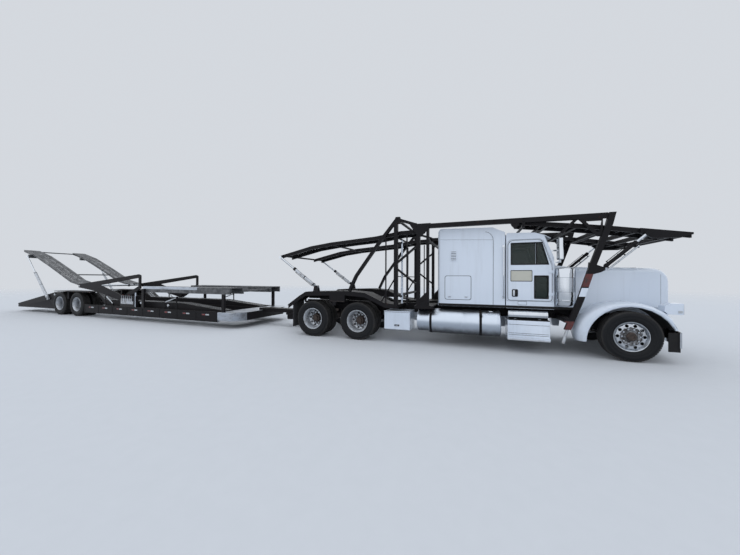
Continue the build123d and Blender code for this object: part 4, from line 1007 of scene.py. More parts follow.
def flank(side, name):
    """What is fixed to one side of the cab and sleeper."""
    form = Form("white", "rubber", "chrome", side=side)
    buried, proud = CAB_SKIN - 0.004, CAB_SKIN + 0.001
    # Luggage door on its seal, the vent above it, and the small bare plate under the door
    form.plates(("rubber", (-3.46, -2.87), (1.08, 1.64), 0.05, (buried, CAB_SKIN + 0.003)),
                ("white", (-3.45, -2.88), (1.09, 1.63), 0.045, (buried, CAB_SKIN + 0.009)),
                ("white", (-3.33, -3.19), (1.98, 2.24), 0.02, (buried, CAB_SKIN + 0.014)),
                ("rubber", (-1.918, -1.748), (1.007, 1.085), 0.008, (proud, CAB_SKIN + 0.0045)),
                ("white", (-1.913, -1.753), (1.012, 1.08), 0.006, (proud, CAB_SKIN + 0.006)))
    # Slots of the vent and the sill
    form.boxes("rubber", *(((-3.315, -3.205), (CAB_SKIN + 0.008, CAB_SKIN + 0.0155), (z, z + 0.012))
                           for z in spaced(2.0, 0.037, 6)),
               ((-3.60, -0.86), (CAB_SKIN - 0.01, CAB_SKIN + 0.004), (0.935, 0.99)))
    # Seams: one that turns back under the roof, a level one that meets it, and the rear edge
    for y, radius, seam in ((CAB_SKIN, 0.0045, ((-2.41, 0.98), (-2.41, 2.42), (-2.418, 2.48), (-2.44, 2.535),
                                                (-2.475, 2.58), (-2.52, 2.61), (-2.58, 2.625))),
                            (CAB_SKIN, 0.0025, ((-3.57, 2.49), (-2.42, 2.44))),
                            (CAB_SKIN - 0.002, 0.003, ((-3.612, 1.0), (-3.612, 2.35)))):
        form.tube([(x, y, z) for x, z in seam], radius, 6)
    # Latches of the luggage door, and the grab bar behind the cab's door
    form.boxes("chrome", *((about(x, 0.03), (CAB_SKIN, CAB_SKIN + 0.018), (1.13, 1.165)) for x in (-3.35, -2.98)),
               *((about(-2.20, 0.025), (1.048, 1.058), about(z, 0.03)) for z in (1.16, 2.28)))
    form.tube([(-2.20, y, z) for y, z in ((1.045, 1.16), (1.105, 1.16), (1.115, 1.2), (1.115, 2.24), (1.105, 2.28),
                                          (1.045, 2.28))], 0.013)
    form.done(f"flank_{name}", "tractor", bevel=0.002)


def cab_front():
    """Wipers on the screens, marker lamps over them and the visor."""
    form = Form("rubber", "amber")
    for _ in form.sides():
        form.rods("rubber", ((-1.165, 0.30, 1.875), (-1.30, 0.62, 2.20), 0.007, 6),
                  ((-1.215, 0.72, 2.03), (-1.375, 0.50, 2.37), 0.009, 6))
    for y in (-0.75, -0.15, 0.0, 0.15, 0.75):
        form.use("amber").turned([(0.0, 0.045), (0.02, 0.042), (0.035, 0.025), (0.04, 0.0005)], (-1.62, y, 2.558),
                                 UPWARD, 12)
    form.done("cab_front_trim", "tractor")
    visor = Form("white")
    visor.prism([(-1.42, 2.51), (-1.28, 2.43), (-1.275, 2.44), (-1.41, 2.525)], -0.95, 0.95)
    visor.done("sun_visor", "tractor", bevel=0.002)


class TRANSPORTER_OT_cab(StepOperator):
    """Cab, doors and sleeper with their seams, handles, vents, bars and lights"""

    bl_idname = "transporter.cab"
    bl_label = "Cab and sleeper"

    def execute(self, context):
        softened("cab_shell", ["white", "rubber"], 0.014, 3, choose=inside_dark)
        softened("sleeper_shell", ["white", "rubber"], 0.03, 3, choose=inside_dark)
        for side, name in SIDES:
            softened(f"door_{name}", ["white", "rubber"], choose=handle_dark)
            door(side, name)
            flank(side, name)
        cab_front()
        return {"FINISHED"}


# Nose. The air cleaner's canister is (height, radius)
CANISTER = ((1.022, 0.0005), (1.022, 0.13), (1.03, 0.16), (1.05, 0.17), (1.11, 0.17), (1.116, 0.175), (1.14, 0.175),
            (1.146, 0.17), (1.30, 0.17), (1.305, 0.163), (1.60, 0.163), (1.605, 0.17), (1.76, 0.17), (1.777, 0.166),
            (1.795, 0.15), (1.806, 0.12), (1.81, 0.07), (1.81, 0.0005))


def bumper_finish(where, normal):
    """Chrome bar, black brackets and rubber end panels."""
    if abs(where.y) < 0.56 and where.x < 0.842:
        return "black"
    return "rubber" if where.x < 0.715 and abs(where.y) < 1.17 else "chrome"


def cleaner(side, name):
    """A canister with rolled rims, straps and a slotted intake, and its duct into the cowl."""
    rib = Form("chrome")
    rib.box(about(0, 0.0035), (0, 0.008), about(0, 0.145))
    ribs = repeat(ring_of_items, rib, "chrome", Count=54, Radius=0.1695)
    form = Form("chrome", "rubber", side=side)
    x, y = -1.055, 1.075
    form.turned(CANISTER, (x, y, 0), UPWARD, 64)
    form.stamp(ribs, (x, y, 1.4525), Matrix.Rotation(math.pi / 2, 4, "X"))
    for z in (1.23, 1.66):
        form.band((-0.022, 0.022), 0.169, 0.1745, (x, y, z), UPWARD, 64)
        form.box(about(x, 0.03), (0.86, 0.93), about(z, 0.02))
    form.rods("rubber", ((-1.04, 0.80, 1.18), (-1.05, 0.93, 1.18), 0.075))
    form.done(f"air_cleaner_{name}", "tractor", ["air_cleaners"] if side > 0 else (), smooth=35)


def nose_fittings(side, name):
    """Bolt heads on the bumper, and the mirror's two glasses in their rim."""
    form = Form("chrome", "rubber", "clear", side=side)
    for z in (0.40, 0.52):
        form.turned([(0.0, 0.016), (0.006, 0.015), (0.01, 0.008), (0.011, 0.0005)], (0.872, 0.46, z), AHEAD, 12)
    form.boxes("rubber", ((-1.209, -1.203), (1.10, 1.275), (1.975, 2.395)))
    form.boxes("clear", *(((-1.2115, -1.206), (1.11, 1.265), z) for z in ((1.985, 2.20), (2.215, 2.385))))
    form.done(f"nose_fittings_{name}", "tractor", bevel=0.001)


class TRANSPORTER_OT_nose(StepOperator):
    """Bumper, air cleaners and mirrors"""

    bl_idname = "transporter.nose"
    bl_label = "Bumper, cleaners and mirrors"

    def execute(self, context):
        softened("front_bumper", ["chrome", "black", "rubber"], 0.004, choose=bumper_finish)
        softened("mirrors", ["chrome"], 0.01, 3)
        for side, name in SIDES:
            cleaner(side, name)
            nose_fittings(side, name)
        return {"FINISHED"}


# Tanks and boxes. The tank is (x, radius), with a shorter, thinner one at its rear end
TANK = ((-2.252, 0.0005), (-2.252, 0.20), (-2.256, 0.262), (-2.268, 0.282), (-2.285, 0.29), (-2.31, 0.29),
        (-2.313, 0.287), (-2.321, 0.287), (-2.324, 0.29), (-3.05, 0.29), (-3.053, 0.288), (-3.059, 0.288),
        (-3.062, 0.29), (-3.81, 0.29), (-3.83, 0.283), (-3.832, 0.256), (-4.075, 0.255), (-4.094, 0.248), (-4.10, 0.23),
        (-4.10, 0.0005))


def box_finish(where, normal):
    """White boxes, a bright air tank and tread plate, black brackets."""
    if abs(where.y) < 0.639 or where.z > 0.775 and where.x < -4:
        return "black"
    if where.z < 0.302 and where.x > -2.2:
        return "aluminium"
    return "chrome" if where.z > 0.692 and where.x > -2.2 else "white"


def tank(side, name):
    """A fuel tank with its straps, hangers and filler cap."""
    form = Form("tank", "black", "chrome", "rubber", side=side)
    centre = (0, 0.915, 0.56)
    form.turned(TANK, centre, AHEAD, 72)
    for x in (-2.67, -3.77):
        form.use("black").band(about(x, 0.028), 0.289, 0.2945, centre, AHEAD, 72, 0.002)
        form.box(about(x, 0.025), (0.43, 0.69), (0.66, 0.75))
        form.box(about(x, 0.03), (1.14, 1.185), (0.735, 0.79))
    for finish_name, profile in (
            ("chrome", ((0.27, 0.052), (0.312, 0.052), (0.318, 0.046), (0.322, 0.02), (0.322, 0.0005))),
            ("rubber", ((0.27, 0.058), (0.292, 0.058), (0.294, 0.05)))):
        form.use(finish_name).turned(profile, (-2.46, *centre[1:]), (0, 0.35, 1))
    form.done(f"fuel_tank_{name}", "tractor", ["fuel_tanks"] if side > 0 else (), smooth=35)


def box_trim(side, name):
    """Lines, treads and fastenings of the step box and the tool box."""
    form = Form("rubber", "white", "chrome", "aluminium", side=side)
    face = (1.198, 1.203)
    # Shadow lines of the step box's pressed panels and its upper edge, then the tool box's lid line, foot and hinge
    form.boxes("rubber", *(((-2.115, -1.355), face, about(z, 0.003)) for z in (0.385, 0.42, 0.60)),
               ((-2.11, -1.35), (1.05, 1.196), (0.69, 0.708)), ((-4.89, -4.27), face, (0.742, 0.748)),
               ((-4.895, -4.265), (1.19, 1.2025), (0.315, 0.325)), ((-4.64, -4.52), (1.198, 1.207), (0.405, 0.445)))
    form.boxes("white", ((-2.135, -1.335), (1.19, 1.224), (0.300, 0.335)),
               ((-4.905, -4.255), (0.66, 1.206), (0.755, 0.772)))
    form.boxes("aluminium", *(((x, x + 0.03), (1.12, 1.195), (0.306, 0.31)) for x in spaced(-2.10, 0.0605, 13)))
    # Latch of the tool box, and rings round the air tank over the step
    form.boxes("chrome", ((-4.615, -4.545), (1.205, 1.212), (0.415, 0.435)))
    for x in (-2.10, -1.75, -1.39):
        form.band(about(x, 0.014), 0.089, 0.0935, (0, 1.09, 0.80), AHEAD, 32, 0.002)
    form.done(f"box_trim_{name}", "tractor", bevel=0.0015)


class TRANSPORTER_OT_flanks(StepOperator):
    """Fuel tanks, air tanks, step boxes and tool boxes"""

    bl_idname = "transporter.flanks"
    bl_label = "Tanks and boxes"

    def execute(self, context):
        softened("side_boxes", ["white", "chrome", "black", "aluminium"], 0.012, 3, choose=box_finish)
        for side, name in SIDES:
            tank(side, name)
            box_trim(side, name)
        return {"FINISHED"}


# Rack, with the outer face that it shares with the trailer's side rails
OUTER_FACE = 1.27
COVER_TOP = ((-7.70, 0.832), (-7.33, 1.088), (-7.14, 1.198), (-5.96, 1.238), (-5.40, 1.198), (-4.87, 0.958),
             (-4.66, 0.945))
BOLTS = ((-4.57, 3.0), (-4.10, 2.80), (-4.10, 2.87), (-3.86, 2.80), (-3.80, 2.80), (-5.07, 2.41), (-5.65, 1.63),
         (-4.62, 1.0), (-4.57, 0.9), (-3.85, 0.98), (-4.0, 0.98), (-3.95, 1.05), (-3.2, 2.80), (-2.4, 2.80),
         (-1.84, 2.78), (-1.84, 2.70), (-1.0, 2.80))
# Plates by their outline in side view and range across the truck: gusset where the tower meets the beam, inner side of
# the wheel cover, brace from the beam towards the head ramp's hinge, hanger under the beam
RACK_PLATES = (
    (((-4.30, 2.93), (-4.06, 2.862), (-3.76, 2.862), (-3.76, 2.80), (-3.90, 2.62), (-4.02, 2.55), (-4.16, 2.70)),
     (1.262, 1.276)),
    (((-7.38, 1.04), (-7.14, 1.18), (-5.96, 1.22), (-5.40, 1.18), (-5.05, 1.02), (-5.05, 0.985), (-7.38, 0.985)),
     (0.70, 0.712)),
    (((-0.83, 2.80), (-0.90, 2.80), (-1.19, 2.50), (-1.13, 2.485)), (1.19, 1.25)),
    (((-2.10, 2.80), (-1.90, 2.80), (-1.93, 2.70), (-2.0, 2.62), (-2.07, 2.70)), (1.235, 1.262)),
)


def post_band(where, normal):
    """Bands of colour round the leaning front posts."""
    line = -0.65 - (1.81 - where.z) * 0.294
    if abs(where.y) < 1.2 or abs(where.x - line) > 0.075:
        return "black"
    if 1.225 < where.z < 1.395 and abs(normal.y) > 0.7:
        return "white"
    return "red" if where.z < 0.73 or 1.42 < where.z < 1.67 else "black"


def flap_finish(where, normal):
    """Grey mudflaps behind the black wheel covers."""
    return "flap" if where.z < 0.86 and where.x < -7.53 and 0.69 < abs(where.y) < 1.245 else "black"


def rack_fittings(side, name):
    """Bolts at the joints, plates, side lip of the wheel cover and the light pipe under the front post."""
    form = Form("black", "silver", "hub", side=side)
    for x, z in BOLTS:
        form.turned([(0, 0.016), (0.012, 0.016), (0.014, 0.0128), (0.014, 0.0005)], (x, OUTER_FACE, z), ACROSS, 6)
    for outline, y in RACK_PLATES:
        form.prism(outline, *y)
    form.ribbon(COVER_TOP, 0.11, 1.254, 1.268)
    form.rods("silver", ((-1.045, 1.245, 0.60), (-1.13, 1.245, 0.28), 0.028))
    form.boxes("hub", ((-6.39, -5.97), (1.268, 1.274), (0.965, 0.975)))
    form.done(f"rack_fittings_{name}", "tractor", bevel=0.002)


def tower_pipes():
    """The white pipe that stands inside the tower, and the thin stanchions beside it."""
    form = Form("white", "black")
    for z_from, z_to, radius in ((0.96, 2.50, 0.022), (1.05, 1.75, 0.028)):
        form.tube([(-4.47, -1.135, z_from), (-4.47, -1.135, z_to)], radius)
    form.boxes("black", *(((-4.57, -4.46), (-1.18, -1.13), (z, z + 0.04)) for z in (1.12, 2.42)))
    for _ in form.sides():
        form.boxes("black", *((about(x, 0.014), (1.20, 1.23), (0.94, z)) for x, z in ((-4.86, 2.58), (-4.33, 2.64))))
        form.rods("black", ((-4.98, 1.215, 0.98), (-4.64, 1.215, 1.55), 0.018, 8),
                  ((-4.60, -1.17, 1.62), (-4.60, 1.17, 1.62), 0.012, 8))
    form.done("tower_pipes", "tractor")


class TRANSPORTER_OT_rack(StepOperator):
    """Rack over the cab, tower behind it, wheel covers and mudflaps"""

    bl_idname = "transporter.rack"
    bl_label = "Rack and wheel covers"

    def execute(self, context):
        softened("rack_tower", ["black"])
        softened("rack_beams", ["black", "red", "white"], cuts=[(2, z) for z in (0.73, 1.225, 1.395, 1.42, 1.67)],
                 choose=post_band)
        softened("rear_fenders", ["black", "flap"], 0.005, choose=flap_finish)
        for side, name in SIDES:
            rack_fittings(side, name)
        tower_pipes()
        return {"FINISHED"}


RIB_PITCH = 0.55
# Decks: node, top edge in side view, inner and outer edge and thickness of its plates, finish, width of middle rib
TRACKS = (("head_ramp", ((-1.95, 2.815), (-1.89, 2.81), (-0.91, 2.69), (-0.31, 2.605), (0.11, 2.535), (0.86, 2.41)),
           0.65, 1.11, 0.012, "black", 0.0),
          ("rear_deck", ((-8.03, 2.22), (-7.04, 2.45), (-6.42, 2.53), (-5.83, 2.58), (-5.15, 2.63), (-4.50, 2.73),
                         (-4.05, 2.74)), 0.65, 1.11, 0.012, "black", 0.0),
          ("rear_ramp", ((-22.55, 2.84), (-21.50, 2.56), (-20.37, 2.12), (-18.75, 1.45), (-17.94, 1.29)),
           0.65, 1.06, 0.012, "track", 0.04),
          ("front_upper_deck", ((-13.985, 1.25), (-9.90, 1.25)), 0.70, 1.14, 0.02, "track", 0.0))
# Cylinders: name, finish, foot and eye in side view, length and radius of the barrel, place across the truck
CYLINDERS = (("head", "black", (-0.50, 1.76), (0.20, 2.42), 0.74, 0.034, 1.25),
             ("rear", "silver", (-6.82, 1.33), (-8.00, 2.16), 0.88, 0.04, 1.22),
             ("ramp", "silver", (-20.13, 0.64), (-21.88, 2.51), 1.56, 0.05, 1.24))


def tracks(node, top, low, high, thickness, finish_name, rib):
    """The node without its plates, and perforated plates in their place."""
    def keep_rails(where, normal):
        """Leaves out the plates between the rails."""
        on_plate = low < abs(where.y) < high and abs(where.z - height(top, where.x)) < thickness + 0.006
        return None if on_plate and abs(normal.z) > 0.7 else finish_name

    softened(node, [finish_name], 0.004, cuts=[(1, side * y) for side in (1, -1) for y in (low, high)],
             choose=keep_rails)
    form = Form(finish_name)
    lowered = sunk(top)
    left, right = about((low + high) / 2, rib / 2)
    for _ in form.sides():
        if rib:
            form.ribbon(lowered, 0.05, left, right)
        for span in ((low, left), (right, high)) if rib else ((low, high),):
            perforated(form, lowered, span, finish_name)
        # Cross ribs under the plates
        for (x_from, z_from), (x_to, z_to) in zip(lowered, lowered[1:]):
            count = max(1, round(math.hypot(x_to - x_from, z_to - z_from) / RIB_PITCH))
            for k in range(count):
                share = (k + 0.5) / count
                z = z_from + (z_to - z_from) * share
                form.box(about(x_from + (x_to - x_from) * share, 0.02), (low, high), (z - 0.05, z - 0.009))
    if node == "head_ramp":
        for _ in form.sides():
            form.prism([(0.855, 2.41), (0.855, 2.375), (0.67, 2.325), (0.30, 2.33), (0.11, 2.43), (0.11, 2.53)],
                       1.165, 1.222)
        for x in (-1.4, -0.9, -0.4, 0.05, 0.35, 0.62):
            z = height(top, x)
            form.box(about(x, 0.03), (-1.165, 1.165), (z - 0.10, z - 0.02))
    form.done(f"{node}_tracks", body_of_node[node], smooth=35)


def bright_edge():
    """Bright kick strips along the rear of the raised deck."""
    form = Form("deck")
    for _ in form.sides():
        form.boxes("deck", ((-13.98, -11.30), (1.19, 1.206), (1.165, 1.254)),
                   ((-13.98, -11.30), (1.13, 1.198), (1.245, 1.258)))
    form.done("raised_deck_edge", body_of_node["front_upper_deck"], bevel=0.002)


def rod_finish(where, normal):
    """The head rods have long black ends."""
    return "black" if where.x > 0.0 else "chrome"


def barrel_fittings(name, foot, eye, length, radius, y):
    """Rings round a pair of barrels, ports with their pipe, and the stay pipe beside each front barrel."""
    aim = (Vector(eye) - Vector(foot)).normalized()
    form = Form("black", "chrome", "silver")

    def place(along, aside=0.0):
        spot = Vector(foot) + aim * along + Vector((-aim.y, aim.x)) * aside
        return spot.x, y, spot.y

    for _ in form.sides():
        for start, end, more in ((0.09, 0.13, 0.006), (length - 0.07, length, 0.007),
                                 (length * 0.5, length * 0.53, 0.004)):
            crown = radius + min(more, HALF_WIDTH - y - radius)
            form.band((start, end), radius - 0.001, crown, place(0), (aim.x, 0, aim.y))
        ports = (0.16, length - 0.11)
        form.rods("black", *((place(port, radius - 0.01), place(port, radius + 0.028), 0.011, 10) for port in ports),
                  (*(place(port, radius + 0.02) for port in ports), 0.007, 8))
        if name == "head":
            form.rods("silver", (place(0.06, -0.075), place(0.66, -0.075), 0.017))
            form.rods("chrome", (place(0.66, -0.075), place(0.72, -0.075), 0.012))
            form.rods("black", *((place(clip, -0.03), place(clip, -0.08), 0.012, 8) for clip in (0.10, 0.45, 0.68)))
    form.done(f"{name}_barrel_fittings", f"{name}_barrels", smooth=35)


class TRANSPORTER_OT_decks(StepOperator):
    """Perforated tracks of the decks and ramps, and the lifting cylinders"""

    bl_idname = "transporter.decks"
    bl_label = "Decks and cylinders"

    def execute(self, context):
        for track in TRACKS:
            tracks(*track)
        bright_edge()
        for name, finish_name, *_ in CYLINDERS:
            softened(f"{name}_barrels", [finish_name], 0.003)
            softened(f"{name}_rods", ["chrome", "black"], 0.002, choose=rod_finish)
        for name, _, *places_and_sizes in CYLINDERS:
            barrel_fittings(name, *places_and_sizes)
        return {"FINISHED"}


# Trailer, with the tops of its lower deck and tail ramp in side view
LOWER_DECK = ((-16.99, 0.96), (-16.55, 0.70), (-12.24, 0.70), (-11.09, 0.59), (-10.345, 0.52))
TAIL = ((-22.86, 0.355), (-19.74, 0.93))
DECK_PLATES = (0.70, 1.01)
CLEATS = 20


def frame_finish(where, normal):
    """Bright sides on the nose of the trailer's frame."""
    nose = -10.33 < where.x < -9.5 and where.z < 0.495 and (abs(where.y) > 0.16 or where.z > 0.48)
    return "deck" if nose else "black"


def deck_finish(where, normal):
    """Leaves out the lower deck's plates, and shows worn tops on the tail ramp."""
    on_plate = where.x > -16.98 and DECK_PLATES[0] < abs(where.y) < DECK_PLATES[1] and abs(normal.z) > 0.7
    if on_plate and abs(where.z - height(LOWER_DECK, where.x)) < 0.031:
        return None
    return "track" if normal.z > 0.7 and where.x < -19.7 else "black"


def lower_deck():
    """Perforated plates of the lower deck on their stiffeners, and cleats across the tail ramp."""
    form = Form("track", "black")
    cleat_pitch = (TAIL[1][0] - TAIL[0][0]) / CLEATS
    for _ in form.sides():
        perforated(form.use("track"), sunk(LOWER_DECK), DECK_PLATES)
        for x in spaced(TAIL[0][0] + cleat_pitch / 2, cleat_pitch, CLEATS):
            form.box(about(x, 0.02), (0.57, 1.17), about(height(TAIL, x), 0.012))
        for x in spaced(-10.8, -0.43, 14):
            z = height(LOWER_DECK, x)
            form.boxes("black", (about(x, 0.02), DECK_PLATES, (z - 0.06, z - 0.009)))
    form.done("lower_deck_tracks", "trailer", smooth=35)


def trailer_rail(side, name):
    """Red and white reflectors, chain slots and rub strips along the side rail."""
    form = Form("black", "red_lens", "clear", "deck", side=side)
    form.boxes("black", *(((-17.36, -10.36), about(OUTER_FACE, 0.004), z) for z in ((0.478, 0.498), (0.182, 0.20))))
    for x in spaced(-10.84, -0.87, 8):
        for finish_name, start, end, proud, z in (("red_lens", -0.16, -0.02, 0.004, (0.378, 0.418)),
                                                  ("clear", 0, 0.15, 0.004, (0.378, 0.418)),
                                                  ("black", -0.46, -0.42, 0.006, (0.20, 0.478))):
            form.boxes(finish_name, ((x + start, x + end), (OUTER_FACE, OUTER_FACE + proud), z))
    form.boxes("deck", ((-10.335, -9.78), (1.262, 1.274), (0.262, 0.468)))
    form.done(f"trailer_rail_{name}", "trailer", bevel=0.002)


def trailer_lamps(side, name):
    """Small lamps on the wheel cover, round ones along the frame, and the tail lamps."""
    form = Form("rubber", "amber", "red_lens", "silver", side=side)
    for x in (-19.4, -18.8, -18.2, -17.6, -17.12):
        form.boxes("rubber", (about(x, 0.04), (1.195, 1.225), (0.962, 0.992)))
        form.boxes("amber" if x > -18.5 else "red_lens", (about(x, 0.03), (1.22, 1.234), (0.966, 0.988)))
    for x, z in ((-15.06, 0.66), (-14.04, 0.66), (-12.64, 0.62), (-19.66, 0.83)):
        form.use("silver").turned([(0.0, 0.0005), (0.0, 0.038), (0.02, 0.043), (0.032, 0.041), (0.035, 0.034),
                                   (0.035, 0.0005)], (x, 1.2, z), ACROSS, 20)
    form.boxes("rubber", *((about(x, 0.02), (1.19, 1.215), (0.48, 0.66)) for x in (-15.06, -14.04, -12.64)))
    for y in (0.78, 0.90, 1.02):
        for finish_name, profile in (("rubber", ((0, 0.0005), (0, 0.05), (0.012, 0.05), (0.014, 0.044))),
                                     ("red_lens", ((0.008, 0.045), (0.014, 0.043), (0.018, 0.0005)))):
            form.use(finish_name).turned(profile, (-22.83, y, 0.27), (-1, 0, 0), 20)
    form.done(f"trailer_lamps_{name}", "trailer", smooth=35)


def trailer_links(side, name):
    """Fixed bright cylinders low on the frame, between brackets."""
    form = Form("silver", "black", "chrome", side=side)
    for start, end in (((-16.13, 0.86), (-15.70, 0.56)), ((-12.83, 0.72), (-12.24, 0.90))):
        neck = Vector(start).lerp(Vector(end), 0.66)
        foot, neck, eye = ((x, 1.195, z) for x, z in (start, neck, end))
        form.rods("silver", (foot, neck, 0.021))
        form.rods("chrome", (neck, eye, 0.012))
        for x, z in (start, end):
            form.boxes("black", (about(x, 0.03), (1.175, 1.215), about(z, 0.03)),
                       (about(x, 0.02), (1.20, 1.225), (0.49, z)))
    form.done(f"trailer_links_{name}", "trailer", bevel=0.002)


def valve_bank():
    """The bank of levers on the right, with a white post."""
    form = Form("black", "chrome", "white", "silver", "red")
    y = -1.268
    form.boxes("silver", ((-15.10, -14.40), (y - 0.006, y + 0.02), (0.60, 0.70)))
    for k, x in enumerate(spaced(-15.05, 0.11, 6)):
        form.boxes("silver", (about(x, 0.035), (y - 0.014, y), (0.615, 0.80)))
        form.rods("chrome", ((x, y + 0.005, 0.78), (x - 0.015, y - 0.008, 0.92), 0.008, 8))
        form.rods("red" if k in (1, 4) else "black",
                  ((x - 0.015, y - 0.008, 0.91), (x - 0.02, y - 0.009, 0.945), 0.012, 8))
    form.rods("white", ((-14.30, -1.25, 0.50), (-14.30, -1.25, 1.02), 0.02, 12))
    form.done("valve_bank", "trailer", bevel=0.001)


class TRANSPORTER_OT_trailer(StepOperator):
    """Trailer frame, lower deck, tail ramp, arms, valves and lamps"""

    bl_idname = "transporter.trailer"
    bl_label = "Trailer"

    def execute(self, context):
        softened("trailer_frame", ["black", "deck"], cuts=[(0, -10.33)], choose=frame_finish)
        softened("trailer_decks", ["black", "track"], 0.004,
                 cuts=[(1, side * y) for side, y in ((-1, 1.01), (-1, 0.70), (1, 0.70), (1, 1.01))], choose=deck_finish)
        softened("lift_arms", ["black"])
        softened("ramp_shaft", ["chrome"], 0.002)
        lower_deck()
        for side, name in SIDES:
            trailer_rail(side, name)
            trailer_lamps(side, name)
            trailer_links(side, name)
        valve_bank()
        return {"FINISHED"}


# Chassis
def gear_finish(where, normal):
    """Oily castings in the middle of the rear axles."""
    return "hub" if abs(where.y) < 0.2 and where.x < -5 else "black"


def inside_finish(where, normal):
    """Cloth on the seats and the bunk, trim on the rest."""
    return "fabric" if where.x < -1.49 and where.z < 2.15 and not (1.5 < where.z < 1.85 and where.x > -1.6) else "trim"


def chassis_fittings():
    """Brake chambers on the axles, and bolts along the rails."""
    form = Form("black")
    for _ in form.sides():
        for x in (-5.612, -6.921):
            form.rods("black", *(((x + start, 0.50, 0.42), (x + end, 0.50, 0.42), radius, 20)
                                 for start, end, radius in ((0.16, 0.34, 0.075), (0.20, 0.22, 0.083))))
        for x in spaced(0.45, -0.235, 34):
            form.turned([(0, 0.013), (0.008, 0.012), (0.009, 0.0005)], (x, 0.43, 0.88), ACROSS, 6)
    form.done("chassis_fittings", "tractor", smooth=35)


class TRANSPORTER_OT_chassis(StepOperator):
    """Chassis, axles, springs, coupling and inside of the cab"""

    bl_idname = "transporter.chassis"
    bl_label = "Chassis and inside"

    def execute(self, context):
        softened("chassis_frame", ["black"], 0.004)
        softened("running_gear", ["black", "hub"], 0.004, choose=gear_finish)
        softened("trailer_axles", ["black"], 0.004)
        softened("cab_interior", ["fabric", "trim"], 0.02, 3, choose=inside_finish)
        softened("engine_block", ["engine"], 0.02)
        chassis_fittings()
        return {"FINISHED"}


# Stage
PALE_SKY, REFLECTED_SKY = (0.66, 0.69, 0.735, 1), (0.56, 0.60, 0.66, 1)
PHOTO_WIDTH, FOCAL_PIXELS, SENSOR = 740, 286.22, 36.0
CAMERA_PLACE = (-2.755, -7.985, 1.566)
YAW, PITCH, ROLL = (math.radians(angle) for angle in (-20.44, 0.199, -0.208))
FLOOR_REACH, FADE = 80, (20.0, 60.0)
LAMP_SPREAD = math.radians(130)


def stage_camera(scene):
    """The photograph's viewpoint."""
    camera = link("camera", bpy.data.cameras.new("camera"))
    camera.data.sensor_width = SENSOR
    camera.data.lens = FOCAL_PIXELS / PHOTO_WIDTH * SENSOR
    camera.data.clip_end = 500
    look = Matrix.Rotation(-YAW, 4, "Z") @ Matrix.Rotation(math.pi / 2 + PITCH, 4, "X") @ Matrix.Rotation(-ROLL, 4, "Z")
    camera.matrix_world = Matrix.Translation(Vector(CAMERA_PLACE) + Vector((AXLE, 0, 0))) @ look
    scene.camera = camera


def stage_floor():
    """A plain floor that fades into the background far away."""
    f = Finish("stage_floor")
    f.set(Base_Color=(f.noise(6, 6) * 0.5).mix((0.50, 0.525, 0.56, 1), (0.56, 0.585, 0.62, 1)), Roughness=0.9,
          Specular_IOR_Level=0.1)
    tree = f.net.tree
    fade = (f.x * f.x + f.y * f.y).math("SQRT").ramp(*FADE)
    blend = f.net.node("ShaderNodeMixShader", i0=fade, i1=Wire(tree, f.shader.outputs[0]),
                       i2=f.net.node("ShaderNodeBsdfTransparent"))
    tree.links.new(blend.socket, tree.nodes["Material Output"].inputs["Surface"])
    work = Form("black")
    work.skin([work.loop([(x - AXLE, y, -0.001) for x in about(0, FLOOR_REACH)]) for y in about(0, FLOOR_REACH)],
              closed=False)
    data = work.plain_mesh("floor")
    data.materials.append(f.material)
    link("floor", data)


def stage_lamps():
    """Broad, even daylight: one soft lamp on the photographed side and a weaker one behind."""
    for name, aim, strength in (("key", (0.35, 1.0, -0.95), 1.7), ("back", (-0.4, -1.0, -0.9), 0.9)):
        lamp = link(name, bpy.data.lights.new(name, "SUN"))
        lamp.data.energy = strength
        lamp.data.angle = LAMP_SPREAD
        lamp.matrix_world = Vector(aim).to_track_quat("-Z", "Y").to_matrix().to_4x4()


def stage_world(scene):
    """A pale background, a little darker where it lights the truck."""
    scene.world = bpy.data.worlds.new("studio")
    scene.world.use_nodes = True
    tree = scene.world.node_tree
    rays = tree.nodes.new("ShaderNodeLightPath")
    seen, mirrored, through = (Wire(tree, rays.outputs[f"Is {kind} Ray"])
                               for kind in ("Camera", "Glossy", "Transmission"))
    background = tree.nodes["Background"].inputs
    seen.feed(background["Color"], (seen + mirrored + through).clamped().mix(REFLECTED_SKY, PALE_SKY))
    seen.feed(background["Strength"], 1.0)


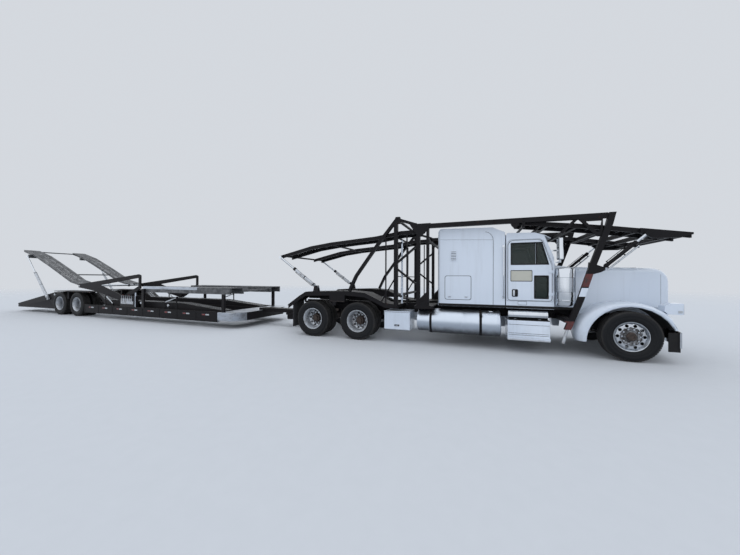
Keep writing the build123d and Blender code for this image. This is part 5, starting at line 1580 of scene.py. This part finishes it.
class TRANSPORTER_OT_stage(StepOperator):
    """Camera, floor, lamps and background"""

    bl_idname = "transporter.stage"
    bl_label = "Stage"

    def execute(self, context):
        context.scene.view_settings.view_transform = "Standard"
        stage_camera(context.scene)
        stage_floor()
        stage_lamps()
        stage_world(context.scene)
        return {"FINISHED"}


NODE_FINISHES = {
    "black": ("knuckle_left", "knuckle_right", "tie_rod"),
    "chrome": ("grille",),
    "glass": ("cab_glass", "door_glass_left", "door_glass_right"),
}


class TRANSPORTER_OT_frame(StepOperator):
    """Finishes of the frame's own nodes"""

    bl_idname = "transporter.frame"
    bl_label = "Frame finishes"

    def execute(self, context):
        for finish_name, names in NODE_FINISHES.items():
            for node in names:
                materials = nodes[node].data.materials
                materials.clear()
                materials.append(finish(finish_name))
        return {"FINISHED"}


STEPS = (TRANSPORTER_OT_stage, TRANSPORTER_OT_frame, TRANSPORTER_OT_wheels, TRANSPORTER_OT_hood, TRANSPORTER_OT_cab,
         TRANSPORTER_OT_nose, TRANSPORTER_OT_flanks, TRANSPORTER_OT_rack, TRANSPORTER_OT_decks, TRANSPORTER_OT_trailer,
         TRANSPORTER_OT_chassis)


class TRANSPORTER_PT_panel(bpy.types.Panel):
    """Lists the steps and their settings"""

    bl_label = "Car transporter"
    bl_space_type = "VIEW_3D"
    bl_region_type = "UI"
    bl_category = "Transporter"

    def draw(self, context):
        for group in (context.scene.transporter_sizes, context.scene.transporter_colours):
            for name in group.__annotations__:
                self.layout.prop(group, name)
        for step in STEPS:
            self.layout.operator(step.bl_idname)


CLASSES = (TransporterSizes, TransporterColours, *STEPS, TRANSPORTER_PT_panel)


def register():
    for entry in CLASSES:
        bpy.utils.register_class(entry)
    bpy.types.Scene.transporter_sizes = PointerProperty(type=TransporterSizes)
    bpy.types.Scene.transporter_colours = PointerProperty(type=TransporterColours)


def unregister():
    del bpy.types.Scene.transporter_colours
    del bpy.types.Scene.transporter_sizes
    for entry in reversed(CLASSES):
        bpy.utils.unregister_class(entry)


def main():
    register()
    for step in STEPS:
        family, name = step.bl_idname.split(".")
        getattr(getattr(bpy.ops, family), name)()


if __name__ == "__main__":
    main()
